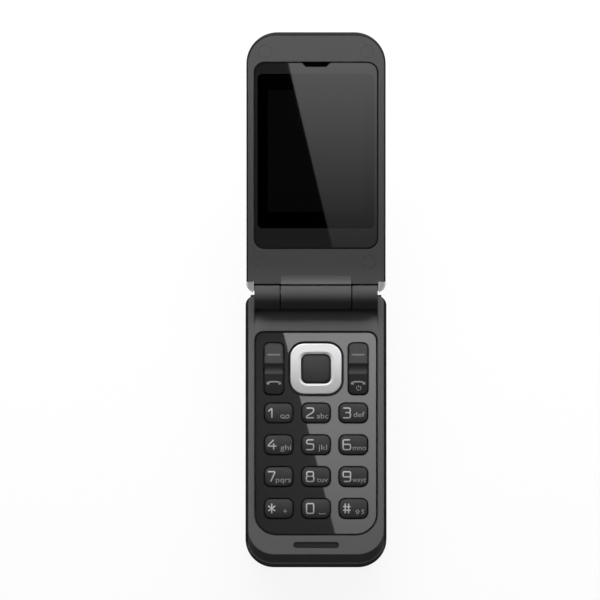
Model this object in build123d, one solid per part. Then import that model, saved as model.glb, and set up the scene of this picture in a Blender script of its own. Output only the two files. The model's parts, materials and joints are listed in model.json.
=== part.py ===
from build123d import *
import math
import os

# A folding mobile phone, opened, lying on its back. All lengths are in millimetres.
# The hinge frame has its origin on the hinge axis, X across the phone, Y towards the far end of
# the lid and Z out of the keypad. The lid is drawn flat in that frame and then tilted.

# Fold
open_angle = 165.0
face_gap = 0.15  # hinge axis to each inner face

# Base shells
base_width = 46.5
base_reach = 88.7  # hinge axis to the end of the chin
base_head = 1.2  # how far the base passes the hinge axis
base_thickness = 10.0
base_front_depth = 4.4  # keypad face to the seam of the two shells
base_side_slope = 0.85  # the keypad face lies this far inside the seam at the sides
base_chin_slope = 3.35  # and this far at the chin
base_foot_radius = 9.4
base_head_radius = 3.2
base_back_radius = 2.4
base_face_edge = 0.35
base_wall = 1.0
base_face_wall = 2.0
base_back_wall = 1.3
seam_groove = 0.2

# Lid shells
lid_inset = 0.3  # the lid is narrower than the base by this at each side
lid_short = 1.2  # and shorter than the base by this
lid_foot = 1.55  # hinge axis to the lower end of the lid
lid_thickness = 7.4
lid_front_depth = 3.4
lid_top_radius = 10.3
lid_foot_radius = 3.1
lid_front_edge = 0.5
lid_back_radius = 2.2
lid_wall = 1.3
lid_face_wall = 1.8
lid_back_wall = 1.2

# Hinge barrel
barrel_radius = 3.95
barrel_clearance = 0.45
barrel_ear = 2.9  # side of the base to the end of the barrel
knuckle_length = 8.35  # each of the base's two knuckles
knuckle_gap = 0.4
hinge_bore = 2.75
hinge_fit = 0.05
hinge_wall = 1.2
shaft_radius = 1.3
shaft_hex = 2.3
spring_wire = 0.35
spring_turns = 6
neck_rise = 0.6  # the lid's neck over the lid's face, at the barrel
neck_reach = 7.3
neck_sweep = 9.0  # radius of the neck's hollow slope
cap_height = 3.65
cap_gap = 0.1
scoop_length = 6.5  # slope from the keypad face down to the barrel
scoop_depth = 1.6
scoop_wall = 1.6

# Keypad panel
keypad_rail = 2.9  # side of the base to the keypad opening
keypad_start = 11.15  # hinge axis to the keypad opening
keypad_chin = 9.7  # keypad opening to the end of the chin
keypad_head_radius = 3.1
keypad_foot_radius = 7.3
faceplate_gap = 0.42
faceplate_recess = 0.35
faceplate_thickness = 0.95
faceplate_ledge = 1.1
faceplate_edge = 0.15

# Number keys
column_web = 3.2  # between neighbouring columns of keys
row_gap = 4.33  # between neighbouring rows
key_radius = 1.9
key_crown = 0.4
key_edge = 0.25
key_gap = 0.36
key_side_margin = 3.08  # outer keys to the side of the panel
key_foot_margin = 5.375  # last row to the end of the panel
key_stand = 0.35  # crown over the panel
row_count = 4
key_travel = 0.35
key_flange = 0.4
key_flange_thickness = 0.5
key_seat = 0.05
stem_radius = 1.0
stem_clearance = 0.4

# Four-way ring, select key and rocker keys
nav_drop = 12.5  # keypad opening to the middle of the ring
ring_size = 16.85
ring_radius = 4.6
ring_gap = 0.63
ring_hole = 9.95
ring_hole_radius = 2.2
ring_bevel = 1.0
ring_bevel_drop = 0.45
ring_edge = 0.4
ring_crown = 0.3
ring_stand = 0.3
ring_thickness = 1.4
select_size = 8.85
select_radius = 1.75
select_thickness = 0.95
select_stem = 2.0
rocker_margin = 2.93  # rocker to the side of the panel
rocker_height = 16.9
rocker_radius = 1.6
rocker_crown = 0.35
rocker_groove_width = 3.5
rocker_groove_depth = 0.5
rocker_gap = 0.36
rocker_web = 1.385  # panel left between the ring and a rocker
rocker_thickness = 1.6
rocker_stem_drop = 5.8  # middle of a rocker to each of its stems
rocker_pin = 0.3  # radius of the pivot pins
rocker_pin_reach = 0.5
row_web = 2.16  # panel left between the ring and the first row

# Ring support
pivot_gap = 0.05
actuator_size = 17.6
actuator_drop = 0.4  # ring to support plate
actuator_thickness = 0.5
actuator_hole = 3.4
nub_radius = 0.7
nub_height = 0.6
nub_reach = 6.8
side_nub_reach = 5.2
pivot_post_radius = 0.5
pivot_post_reach = 8.2

# Keypad mat, domes and board
mat_drop = 0.1  # keys at full travel to the mat
mat_thickness = 0.4
mat_rim = 0.8
dome_radius = 2.0
dome_crown_radius = 1.3
dome_height = 0.2
board_drop = 3.55  # keypad face to the board
board_thickness = 0.8
board_gap = 0.3

# Screws of both halves
screw_shank = 0.75
screw_head = 1.35
screw_head_height = 0.7
screw_fit = 0.1
boss_wall = 0.9
base_boss_inset = 3.35
base_boss_head = 9.0
lid_boss_top_inset = 6.1
lid_boss_top_drop = 5.75
lid_boss_foot_inset = 5.45
lid_boss_foot_reach = 11.8
plug_radius = 2.1
plug_thickness = 0.9
plug_gap = 0.06

# Display lens and module
lens_margin = 2.35  # side of the lid to the lens opening
lens_top_margin = 9.1
lens_start = 16.1  # hinge axis to the lens opening
lens_radius = 3.7
lens_gap = 0.4
lens_recess = 0.2
lens_thickness = 0.9
lens_edge = 0.15
notch_half = 5.15
notch_foot_half = 3.4
notch_depth = 1.85
display_side_border = 4.7  # lens opening to the lit area
display_top_border = 9.5
display_foot_border = 12.35
display_window = 1.0  # lit area to the edge of the window behind the lens
panel_side = 2.6  # lit area to the edge of the glass
panel_top = 2.6
panel_foot = 6.0
panel_thickness = 1.2
panel_gap = 0.05
tray_wall = 0.5
tray_floor = 1.6
tray_lip = 0.3  # the glass stands this far out of its tray
rib_width = 1.0
rib_offset = 10.0

# Earpiece and magnet
earpiece_width = 11.0
earpiece_height = 5.6
earpiece_thickness = 2.2
earpiece_radius = 1.2
earpiece_slot = 1.0
mesh_thickness = 0.3
magnet_inset = 10.45  # side of the base to the middle of the magnet
magnet_reach = 11.5
magnet_width = 5.0
magnet_height = 3.0
magnet_thickness = 1.5

# Microphone slot
mic_slot_length = 15.0
mic_slot_width = 1.88
mic_slot_chin = 6.5  # middle of the slot to the end of the chin
mic_insert_gap = 0.12
mic_insert_recess = 0.35
mic_insert_thickness = 0.8
mic_hole_radius = 0.35
mic_ledge = 0.45
mic_radius = 2.0
mic_height = 1.2

# Battery, its cover and what lies under it
cover_shoulder = 3.0  # head room to the head of the cover
cover_wall = 0.95
cover_gap = 0.1
cover_tab_width = 3.2
cover_tab_length = 1.6
grip_count = 4
grip_length = 12.0
grip_width = 0.7
grip_depth = 0.25
grip_pitch = 1.8
grip_drop = 6.0
bay_floor = 0.65
bay_foot = 4.2  # end of the battery bay to the end of the chin
battery_margin = 6.75  # side of the base to the battery
battery_gap = 0.15
battery_edge = 0.6
sim_width = 29.0
sim_length = 13.0
sim_thickness = 1.7
sim_card_thickness = 0.9
sim_gap = 0.4
sim_margin = 1.0  # card holder to the head of the cover and the bay
contact_block_width = 9.0
contact_block_length = 3.2
contact_block_height = 2.6
contact_count = 3
contact_pitch = 2.5
contact_width = 0.9
contact_length = 0.5

# Parts round the head of the board
head_room_gap = 0.6  # what fills the head room to its end
shield_inset = 5.6  # side of the base to the shield
shield_gap = 2.05  # vibration weight to the shield
shield_length = 10.0
shield_height = 1.4
shield_wall = 0.2
shield_start = 10.4
chip_size = 8.0
chip_height = 0.9
speaker_radius = 6.0
speaker_height = 2.6
speaker_inset = 12.25  # side of the base to the middle of the speaker
speaker_reach = 13.6
speaker_slot_count = 5
speaker_slot_length = 7.0
speaker_slot_width = 0.8
speaker_slot_pitch = 1.6
motor_radius = 2.0
motor_length = 8.0
motor_inset = 7.75  # side of the base to the motor
motor_reach = 17.6
motor_shaft = 0.4
weight_radius = 1.8
weight_length = 2.2
weight_gap = 0.4
antenna_gap = 3.5  # antenna to the speaker
antenna_length = 3.2
antenna_thickness = 0.3
antenna_slot = 0.6
antenna_inset = 6.75  # side of the base to the antenna
antenna_reach = 8.2
sensor_width = 3.0
sensor_length = 1.6
sensor_height = 0.8
sensor_reach = 8.4
part_gap = 0.05  # a mounted part to its seat

# Charging socket in the left side
port_width = 7.4
port_depth = 5.5
port_height = 2.5
port_wall = 0.3
port_inset = 0.4
port_gap = 0.3
port_reach = 16.0
tongue_width = 4.5
tongue_length = 3.6
tongue_height = 0.6

# Ribbon cable through the hinge
ribbon_width = 6.0
ribbon_thickness = 0.2
ribbon_coil = 1.9
ribbon_room = 0.3
ribbon_side_gap = 0.1  # ribbon to the end of the base's knuckle
ribbon_drop = 1.5
bush_nose = 1.8  # how far the bush reaches into the lid's knuckle

# Heights and reaches that follow from the sizes above
base_half = base_width / 2
base_face = -face_gap
base_seam = base_face - base_front_depth
base_back = base_face - base_thickness
lid_half = base_half - lid_inset
lid_reach = base_reach - lid_short
lid_face = -face_gap
lid_seam = lid_face - lid_front_depth
lid_back = lid_face - lid_thickness
lid_tilt = 180 - open_angle
room_radius = barrel_radius + barrel_clearance
barrel_half = base_half - barrel_ear
lid_knuckle = barrel_half - knuckle_length - knuckle_gap
cap_start = barrel_half + knuckle_gap
plate_half = base_half - keypad_rail - faceplate_gap
plate_top = base_face - faceplate_recess
plate_bottom = plate_top - faceplate_thickness
cavity_half = base_half - base_side_slope - base_wall
cavity_low = base_chin_slope + base_wall - base_reach
cavity_high = -(room_radius + hinge_wall)
scoop_start = -(room_radius + scoop_length)
board_top = base_face - board_drop
board_bottom = board_top - board_thickness
dome_top = board_top + dome_height
key_top = plate_top + key_stand
flange_top = plate_bottom - key_seat
flange_bottom = flange_top - key_flange_thickness
stem_bottom = dome_top + stem_clearance
mat_top = flange_bottom - key_travel - mat_drop
nav_y = -(keypad_start + nav_drop)
nav_half = max(ring_size / 2 + ring_gap, rocker_height / 2 + rocker_gap)
keys_high = nav_y - nav_half - row_web - key_gap
keys_low = keypad_chin + faceplate_gap + key_foot_margin - base_reach
key_height = (keys_high - keys_low - (row_count - 1) * row_gap) / row_count
first_row = keys_high - key_height / 2
last_row = keys_low + key_height / 2
row_pitch = (last_row - first_row) / (row_count - 1)
key_width = 2 * (plate_half - key_side_margin - column_web) / 3
column_pitch = key_width + column_web
key_corner = min(key_radius, key_width / 3, key_height / 3)
rocker_start = ring_size / 2 + ring_gap + rocker_web + rocker_gap
rocker_width = plate_half - rocker_margin - rocker_start
rocker_x = rocker_start + rocker_width / 2
rocker_corner = min(rocker_radius, rocker_width / 3)
rocker_pivot = plate_bottom - 2 * key_seat - rocker_pin
ring_top = plate_top + ring_stand
ring_bottom = ring_top - ring_thickness
actuator_top = ring_bottom - actuator_drop
actuator_bottom = actuator_top - actuator_thickness
ridge_radius = actuator_drop - pivot_gap
lens_half = lid_half - lens_margin
lens_end = lid_reach - lens_top_margin
lens_top = lid_face - lens_recess
lens_floor = lens_top - lens_thickness
lit_half = lens_half - display_side_border
lit_low = lens_start + display_foot_border
lit_high = lens_end - display_top_border
panel_face = lid_face - lid_face_wall - panel_gap
panel_back = panel_face - panel_thickness
tray_back = panel_back - tray_floor
lid_inside = lid_back + lid_back_wall
cover_rim = base_back + base_back_radius
cover_inside = base_back + cover_wall
base_inside = base_back + base_back_wall
mic_y = mic_slot_chin - base_reach
battery_width = base_width - 2 * battery_margin
cover_tab_offset = battery_width / 2 + 2 * battery_gap + cover_tab_width / 2
head_room_fill = max(motor_reach + motor_radius, speaker_reach + speaker_radius, shield_start + shield_length)
head_room_end = head_room_fill + head_room_gap
cover_start = head_room_end + cover_shoulder
bay_start = cover_start + sim_length + sim_margin
motor_start = motor_inset - base_half
weight_start = motor_start + motor_length + weight_gap
shield_range = (weight_start + weight_length + shield_gap, base_half - shield_inset)
speaker_offset = base_half - speaker_inset
antenna_range = (antenna_inset - base_half, speaker_offset - speaker_radius - antenna_gap)
magnet_offset = base_half - magnet_inset
ribbon_offset = lid_knuckle - bush_nose - ribbon_room - ribbon_width / 2
ribbon_base_offset = lid_knuckle + knuckle_gap + ribbon_side_gap + ribbon_width / 2


def panel(half_width, low, high, low_radius, high_radius):
    """A flat outline with one radius at its lower corners and another at its upper ones."""
    sheet = Pos(0, (low + high) / 2) * Rectangle(2 * half_width, high - low)
    sheet = fillet(sheet.vertices().group_by(Axis.Y)[0], low_radius)
    return fillet(sheet.vertices().group_by(Axis.Y)[-1], high_radius)


def prism(sheet, low, high):
    """A flat outline carried straight from one height to another."""
    return extrude(Pos(0, 0, low) * sheet, high - low)


def slab(x_range, y_range, z_range):
    """A plain block between three pairs of limits."""
    middle = [(pair[0] + pair[1]) / 2 for pair in (x_range, y_range, z_range)]
    sizes = [abs(pair[1] - pair[0]) for pair in (x_range, y_range, z_range)]
    return Pos(*middle) * Box(*sizes)


def rod(radius, start, end, y=0.0, z=0.0):
    """A round bar along X."""
    return Pos((start + end) / 2, y, z) * Rot(0, 90, 0) * Cylinder(radius, abs(end - start))


def post(radius, low, high, x, y):
    """A round bar along Z."""
    return Pos(x, y, (low + high) / 2) * Cylinder(radius, high - low)


def side_cut(points, start, end):
    """A polygon of (y, z) points carried along X."""
    return extrude(Plane.YZ.offset(start) * Polygon(*points, align=None), end - start, dir=(1, 0, 0))


def both_sides(x):
    return (-x, x)


def span(middle, width):
    return (middle - width / 2, middle + width / 2)


def top_edges(solid):
    return solid.faces().sort_by(Axis.Z)[-1].edges()


def bottom_edges(solid):
    return solid.faces().sort_by(Axis.Z)[0].edges()


def key_places():
    """The middles of the number keys, row by row from the head."""
    rows = [first_row + row_pitch * row for row in range(row_count)]
    return [(column_pitch * column, row) for row in rows for column in (-1, 0, 1)]


def rocker_stems():
    drops = both_sides(rocker_stem_drop)
    return [(x, nav_y + drop) for x in both_sides(rocker_x) for drop in drops]


def base_bosses():
    """Screw places of the base: at its head and between the key rows."""
    rows = (-base_boss_head, first_row + row_pitch / 2, last_row - row_pitch / 2)
    return [(x, row) for x in both_sides(base_half - base_boss_inset) for row in rows]


def lid_bosses():
    top = lid_half - lid_boss_top_inset
    foot = lid_half - lid_boss_foot_inset
    places = [(x, lid_reach - lid_boss_top_drop) for x in both_sides(top)]
    return places + [(x, lid_boss_foot_reach) for x in both_sides(foot)]


def base_outline(inset=0.0):
    return panel(base_half - inset, inset - base_reach, base_head - inset,
                 base_foot_radius - inset, base_head_radius - inset)


def base_front_block():
    """The sloped front of the base, from the seam up to the keypad face."""
    face = panel(base_half - base_side_slope, base_chin_slope - base_reach, base_head - base_side_slope,
                 base_foot_radius - base_side_slope, base_head_radius - base_side_slope)
    block = loft([Pos(0, 0, base_seam) * base_outline(), Pos(0, 0, base_face) * face], ruled=True)
    return fillet(top_edges(block), base_face_edge)


def base_back_block():
    """The rounded back of the base, with a fine step at the seam."""
    shoulder = base_seam - seam_groove
    block = prism(base_outline(), base_back, shoulder)
    block = fillet(bottom_edges(block), base_back_radius)
    return block + prism(base_outline(seam_groove), shoulder, base_seam)


def keypad_opening(inset):
    return panel(base_half - keypad_rail - inset, keypad_chin + inset - base_reach, -keypad_start - inset,
                 keypad_foot_radius - inset, keypad_head_radius - inset)


def ribbon_path():
    """The base's stretch of ribbon, from its coil down to the board, as (y, z) points."""
    lift = ribbon_thickness / 2
    return [(0, lift - ribbon_coil), (cavity_high - ribbon_drop, board_top + part_gap + lift),
            (cavity_high - 3 * ribbon_drop, board_top + part_gap + lift)]


def ribbon_sheet(path, start, end, half_thickness):
    """A flat ribbon along (y, z) points, of the given half thickness."""
    upper = [(y, z + half_thickness) for y, z in path]
    lower = [(y, z - half_thickness) for y, z in reversed(path)]
    return side_cut(upper + lower, start, end)


def ribbon_slot():
    start, end = span(ribbon_base_offset, ribbon_width + 2 * ribbon_room)
    return ribbon_sheet(ribbon_path()[:2], start, end, ribbon_thickness / 2 + ribbon_room)


def barrel_room():
    """What the front of the base gives up for the barrel."""
    head = slab(both_sides(barrel_half), (-barrel_radius, 2 * base_head), (2 * base_seam, -base_seam))
    return rod(room_radius, -barrel_half, barrel_half) + head


def base_knuckles():
    """Two knuckles on webs that stand on the seam."""
    knuckles = Part()
    for side in (-1, 1):
        inner = side * (barrel_half - knuckle_length)
        knuckles += rod(barrel_radius, inner, side * barrel_half)
        web = slab((inner, side * (barrel_half + hinge_wall)), (-room_radius - hinge_wall, base_head),
                   (base_seam, base_seam + base_face_wall))
        knuckles += web
        knuckles -= rod(hinge_bore, inner, side * (barrel_half - base_wall))
    return knuckles


def make_base_front_case():
    case = base_front_block()
    face_low = base_face - base_face_wall
    case -= prism(panel(cavity_half, cavity_low, scoop_start - base_wall,
                        base_foot_radius - base_side_slope - base_wall, base_wall), base_seam, face_low)
    ceiling = base_face - scoop_depth - scoop_wall
    case -= slab(both_sides(cavity_half), (scoop_start - 2 * base_wall, cavity_high), (base_seam, ceiling))
    run = scoop_length + barrel_clearance
    scoop_radius = (run ** 2 + scoop_depth ** 2) / (2 * scoop_depth)
    scoop = slab(both_sides(barrel_half), (scoop_start, 0), (base_face - scoop_depth, -base_face))
    case -= scoop - rod(scoop_radius, -base_half, base_half, scoop_start, base_face - scoop_radius)
    case -= barrel_room()
    case += base_knuckles()
    case -= ribbon_slot()
    case -= prism(keypad_opening(0), plate_bottom, -base_face)
    case -= prism(keypad_opening(faceplate_ledge), base_seam, plate_bottom)
    slot_floor = base_face - mic_insert_recess - mic_insert_thickness
    slot = SlotOverall(mic_slot_length, mic_slot_width)
    duct = SlotOverall(mic_slot_length - 2 * mic_ledge, mic_slot_width - 2 * mic_ledge)
    case -= Pos(0, mic_y) * prism(slot, slot_floor, -base_face)
    case -= Pos(0, mic_y) * prism(duct, base_seam, slot_floor)
    for x, y in base_bosses():
        case += post(screw_shank + boss_wall, base_seam, face_low, x, y)
        case -= post(screw_shank + hinge_fit, base_seam, face_low, x, y)
    return case


def make_base_rear_case():
    case = base_back_block()
    cover_room = slab((-base_width, base_width), (-2 * base_reach, -cover_start), (2 * base_back, cover_rim))
    case -= cover_room
    room = panel(cavity_half, -head_room_end, cavity_high, base_wall, base_wall)
    case -= prism(room, base_inside, base_seam)
    bay = slab(both_sides(battery_width / 2 + battery_gap), (bay_foot - base_reach, -bay_start),
               (2 * base_back, base_seam - bay_floor))
    sim_low = -(bay_start - sim_gap)
    window = slab(both_sides(sim_width / 2 + sim_gap), (sim_low, sim_low + sim_length + 2 * sim_gap),
                  (2 * base_back, base_seam))
    case -= bay
    case -= window & slab((-base_width, base_width), (-base_reach, -cover_start), (2 * base_back, base_seam))
    block_y = -(bay_start + battery_gap)
    case -= slab(both_sides(contact_block_width / 2 + battery_gap),
                 (block_y - contact_block_length - contact_length - battery_gap, -bay_start),
                 (2 * base_back, base_seam))
    case -= slab((-base_width, -cavity_half + base_wall), span(-port_reach, port_width + 2 * port_gap),
                 (board_bottom - port_height - port_gap, base_seam))
    for count in range(speaker_slot_count):
        drop = (count - (speaker_slot_count - 1) / 2) * speaker_slot_pitch
        slot = SlotOverall(speaker_slot_length, speaker_slot_width)
        case -= Pos(speaker_offset, drop - speaker_reach) * prism(slot, 2 * base_back, base_inside)
    for x in both_sides(cover_tab_offset):
        case -= slab(span(x, cover_tab_width + 2 * cover_gap),
                     (-cover_start, cover_tab_length + cover_gap - cover_start),
                     (cover_inside - 2 * cover_gap, cover_inside + cover_wall))
    for x, y in base_bosses():
        seat = screw_seat(y)
        case += post(screw_head + boss_wall, seat, base_seam, x, y) & base_back_block()
        case -= post(screw_shank + screw_fit, base_back, base_seam, x, y)
        case -= post(screw_head + screw_fit, base_back, seat + screw_head_height + screw_fit, x, y)
    return case


def screw_seat(y):
    """Where the outer end of a base screw lies: under the cover, or sunk in the open back."""
    if y < -cover_start:
        return cover_rim
    return base_back + screw_head_height


def make_battery_cover():
    tray = base_back_block()
    tray &= slab((-base_width, base_width), (-2 * base_reach, -cover_start - cover_gap),
                 (2 * base_back, cover_rim - cover_gap))
    hollow = panel(base_half - base_back_radius / 2, base_back_radius / 2 - base_reach, base_head,
                   base_foot_radius - base_back_radius / 2, base_wall)
    tray -= prism(hollow, cover_inside, base_seam)
    for x in both_sides(cover_tab_offset):
        tray += slab(span(x, cover_tab_width), span(-cover_start, 2 * cover_tab_length),
                     (cover_inside - cover_gap / 2, cover_inside + cover_wall - cover_gap))
    for count in range(grip_count):
        groove = SlotOverall(grip_length, grip_width)
        y = -(cover_start + grip_drop + count * grip_pitch)
        tray -= Pos(0, y) * prism(groove, base_back, base_back + grip_depth)
    return tray


def make_faceplate():
    plate = prism(keypad_opening(faceplate_gap), plate_bottom, plate_top)
    plate = fillet(top_edges(plate), faceplate_edge)
    holes = [(key_width + 2 * key_gap, key_height + 2 * key_gap, key_corner + key_gap, place)
             for place in key_places()]
    ring_room = ring_size + 2 * ring_gap
    holes.append((ring_room, ring_room, ring_radius + ring_gap, (0, nav_y)))
    for x in both_sides(rocker_x):
        holes.append((rocker_width + 2 * rocker_gap, rocker_height + 2 * rocker_gap,
                      rocker_corner + rocker_gap, (x, nav_y)))
    for width, height, radius, place in holes:
        plate -= Pos(*place) * prism(RectangleRounded(width, height, radius), 2 * plate_bottom, base_face)
    return plate


def crowned(width, height, radius, bottom, top, crown, edge):
    """A key top, arched along Y, with a soft rim."""
    arch = (height ** 2 / 4 + crown ** 2) / (2 * crown)
    body = prism(RectangleRounded(width, height, radius), bottom, top)
    body &= rod(arch, -width, width, 0, top - arch)
    return fillet(top_edges(body), edge)


def make_number_key():
    key = crowned(key_width, key_height, key_corner, flange_bottom, key_top, key_crown, key_edge)
    flange = RectangleRounded(key_width + 2 * (key_gap + key_flange), key_height + 2 * (key_gap + key_flange),
                              key_corner + key_gap)
    key += prism(flange, flange_bottom, flange_top)
    return key + post(stem_radius, stem_bottom, flange_bottom, 0, 0)


def make_rocker():
    low = plate_top - rocker_thickness
    body = crowned(rocker_width, rocker_height, rocker_corner, low, key_top, rocker_crown, key_edge)
    half = rocker_groove_width / 2
    groove = (half ** 2 + rocker_groove_depth ** 2) / (2 * rocker_groove_depth)
    body -= rod(groove, -rocker_width, rocker_width, 0, key_top - rocker_groove_depth + groove)
    for drop in both_sides(rocker_stem_drop):
        body += post(stem_radius, stem_bottom, low, 0, drop)
    reach = rocker_width / 2 + rocker_gap + rocker_pin_reach
    return body + rod(rocker_pin, -reach, reach, 0, rocker_pivot)


def make_nav_ring():
    ring = crowned(ring_size, ring_size, ring_radius, ring_bottom, ring_top, ring_crown, ring_edge)
    hole = RectangleRounded(ring_hole, ring_hole, ring_hole_radius)
    mouth_size = ring_hole + 2 * ring_bevel
    mouth = RectangleRounded(mouth_size, mouth_size, ring_hole_radius + ring_bevel)
    ring -= prism(hole, ring_bottom, ring_top)
    bevel = loft([Pos(0, 0, ring_top - ring_bevel_drop) * hole, Pos(0, 0, ring_top) * mouth], ruled=True)
    return ring - bevel


def make_nav_actuator():
    plate = prism(RectangleRounded(actuator_size, actuator_size, ring_radius), actuator_bottom, actuator_top)
    for drop in both_sides(nub_reach):
        plate += post(nub_radius, actuator_bottom - nub_height, actuator_bottom, 0, drop)
        plate += Pos(0, drop, actuator_top) * Rot(90, 0, 0) * Cylinder(ridge_radius, 2 * nub_radius)
    for x in both_sides(side_nub_reach):
        plate += post(nub_radius, actuator_bottom - nub_height, actuator_bottom, x, 0)
    for x in both_sides(pivot_post_reach):
        plate += rod(ridge_radius, x - pivot_post_radius, x + pivot_post_radius, 0, actuator_bottom)
    return plate - post(actuator_hole, actuator_bottom, actuator_top, 0, 0)


def make_select_key():
    low = plate_top - select_thickness
    key = crowned(select_size, select_size, select_radius, low, ring_top, key_crown, key_edge)
    return key + post(select_stem, stem_bottom, low, 0, 0)


def nav_domes():
    places = [(0, nav_y)]
    places += [(0, nav_y + drop) for drop in both_sides(nub_reach)]
    return places + [(x, nav_y) for x in both_sides(side_nub_reach)]


def make_keypad_mat():
    """A soft sheet on a rim, with holes for the stems and a lowered bed under the ring."""
    half = base_half - base_boss_inset - screw_shank - boss_wall - board_gap
    low = keypad_chin + faceplate_ledge + board_gap - base_reach
    high = -(keypad_start + faceplate_ledge + board_gap)
    foot_radius = keypad_foot_radius - faceplate_ledge - board_gap
    outer = panel(half, low, high, foot_radius, mat_rim + board_gap)
    inner = panel(half - mat_rim, low + mat_rim, high - mat_rim, foot_radius - mat_rim, board_gap)
    sheet_low = mat_top - mat_thickness
    mat = prism(outer, board_top, mat_top) - prism(inner, board_top, sheet_low)
    room_size = actuator_size + 2 * board_gap
    bed_size = room_size + 2 * mat_rim
    bed = RectangleRounded(bed_size, bed_size, ring_radius + mat_rim)
    bed_room = RectangleRounded(room_size, room_size, ring_radius)
    bed_low = dome_top + dome_height / 2
    at_nav = Pos(0, nav_y)
    mat += at_nav * prism(bed, bed_low, mat_top)
    mat -= at_nav * prism(bed_room, bed_low + mat_thickness, mat_top)
    for x in both_sides(pivot_post_reach):
        mat += post(pivot_post_radius, bed_low, actuator_bottom - ridge_radius - pivot_gap, x, nav_y)
    for x, y in key_places() + rocker_stems():
        mat -= post(stem_radius + board_gap, board_top, mat_top, x, y)
    for x, y in nav_domes():
        mat -= post(dome_radius + board_gap / 2, board_top, mat_top, x, y)
    return mat


def make_domes():
    """One snap dome under each stem and nub."""
    dome = Pos(0, 0, board_top + dome_height / 2) * Cone(dome_radius, dome_crown_radius, dome_height)
    return Compound([Pos(x, y) * dome for x, y in key_places() + rocker_stems() + nav_domes()])


def make_main_board():
    board = panel(cavity_half - board_gap, cavity_low + board_gap, cavity_high - board_gap,
                  base_foot_radius - base_side_slope - base_wall - board_gap, base_wall)
    board = prism(board, board_bottom, board_top)
    for x, y in base_bosses():
        board -= post(screw_shank + boss_wall + board_gap, board_bottom, board_top, x, y)
    return board


def under_board(x_range, y_range, height):
    """A block hung from the lower side of the board."""
    return slab(x_range, y_range, (board_bottom - part_gap - height, board_bottom - part_gap))


def make_shield_can():
    y_range = (-shield_start - shield_length, -shield_start)
    can = under_board(shield_range, y_range, shield_height)
    inner = under_board((shield_range[0] + shield_wall, shield_range[1] - shield_wall),
                        (y_range[0] + shield_wall, y_range[1] - shield_wall), shield_height - shield_wall)
    return can - inner


def make_processor_chip():
    y = -shield_start - shield_length / 2
    return under_board(span(sum(shield_range) / 2, chip_size), span(y, chip_size), chip_height)


def make_sim_holder():
    """A frame for two cards side by side, open towards the battery."""
    low = -(bay_start - 2 * sim_gap)
    holder = under_board(both_sides(sim_width / 2), (low, low + sim_length), sim_thickness)
    card_half = sim_width / 4 - sim_gap
    floor = board_bottom - part_gap - (sim_thickness - sim_card_thickness) / 2
    for x in both_sides(sim_width / 4):
        holder -= slab((x - card_half, x + card_half), (low, low + sim_length - 2 * sim_gap),
                       (floor - sim_card_thickness, floor))
    return holder


def make_battery_connector():
    end = -(bay_start + battery_gap)
    half = contact_block_width / 2
    return under_board(both_sides(half), (end - contact_block_length, end), contact_block_height)


def make_battery_contacts():
    """Sprung blades between the connector and the battery."""
    end = -(bay_start + battery_gap) - contact_block_length
    low = board_bottom - part_gap - contact_block_height
    blades = []
    for count in range(contact_count):
        x = (count - (contact_count - 1) / 2) * contact_pitch
        blades.append(slab(span(x, contact_width), (end - contact_length, end),
                           (low + contact_length, low + 2 * contact_width + contact_length)))
    return Compound(blades)


def make_battery():
    high = -(bay_start + battery_gap) - contact_block_length - contact_length - part_gap
    cell = slab(both_sides(battery_width / 2), (bay_foot + battery_gap - base_reach, high),
                (cover_inside + battery_gap, base_seam - bay_floor - part_gap))
    return fillet(cell.edges().filter_by(Axis.Y), battery_edge)


def make_charging_port():
    """A socket shell with its contact tongue, open to the left side."""
    mouth = port_inset - base_half
    y_range = span(-port_reach, port_width)
    shell = under_board((mouth, mouth + port_depth), y_range, port_height)
    top = board_bottom - part_gap - port_wall
    shell -= slab((mouth, mouth + port_depth - port_wall), (y_range[0] + port_wall, y_range[1] - port_wall),
                  (top - port_height + 2 * port_wall, top))
    end = mouth + port_depth - port_wall / 2
    middle = board_bottom - part_gap - port_height / 2
    tongue = slab((end - tongue_length, end), span(-port_reach, tongue_width), span(middle, tongue_height))
    return shell + tongue


def make_microphone():
    capsule = post(mic_radius, board_top + part_gap, board_top + part_gap + mic_height, 0, mic_y)
    return capsule - post(mic_hole_radius, board_top + mic_height / 2, board_top + 2 * mic_height, 0, mic_y)


def make_mic_insert():
    """The dark strip of felt in the chin slot, over the sound duct."""
    top = base_face - mic_insert_recess
    strip = SlotOverall(mic_slot_length - 2 * mic_insert_gap, mic_slot_width - 2 * mic_insert_gap)
    return Pos(0, mic_y) * prism(strip, top - mic_insert_thickness, top)


def make_loudspeaker():
    low = base_inside + part_gap
    can = post(speaker_radius, low, low + speaker_height, 0, 0)
    dish = post(speaker_radius - 2 * shield_wall, low, low + speaker_height / 4, 0, 0)
    return Pos(speaker_offset, -speaker_reach) * (can - dish)


def motor_height():
    return base_inside + part_gap + motor_radius


def make_vibration_motor():
    end = motor_start + motor_length
    can = rod(motor_radius, motor_start, end, -motor_reach, motor_height())
    return can + rod(motor_shaft, end, weight_start + weight_length, -motor_reach, motor_height())


def make_vibration_weight():
    """A half disc that runs on the motor's shaft."""
    end = weight_start + weight_length
    disc = rod(weight_radius, weight_start, end)
    half = slab((weight_start, end), both_sides(motor_radius), (-motor_radius, motor_shaft + hinge_wall / 2))
    weight = (disc & half) - rod(motor_shaft + hinge_fit, weight_start, end)
    return Pos(0, -motor_reach, motor_height()) * weight


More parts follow.
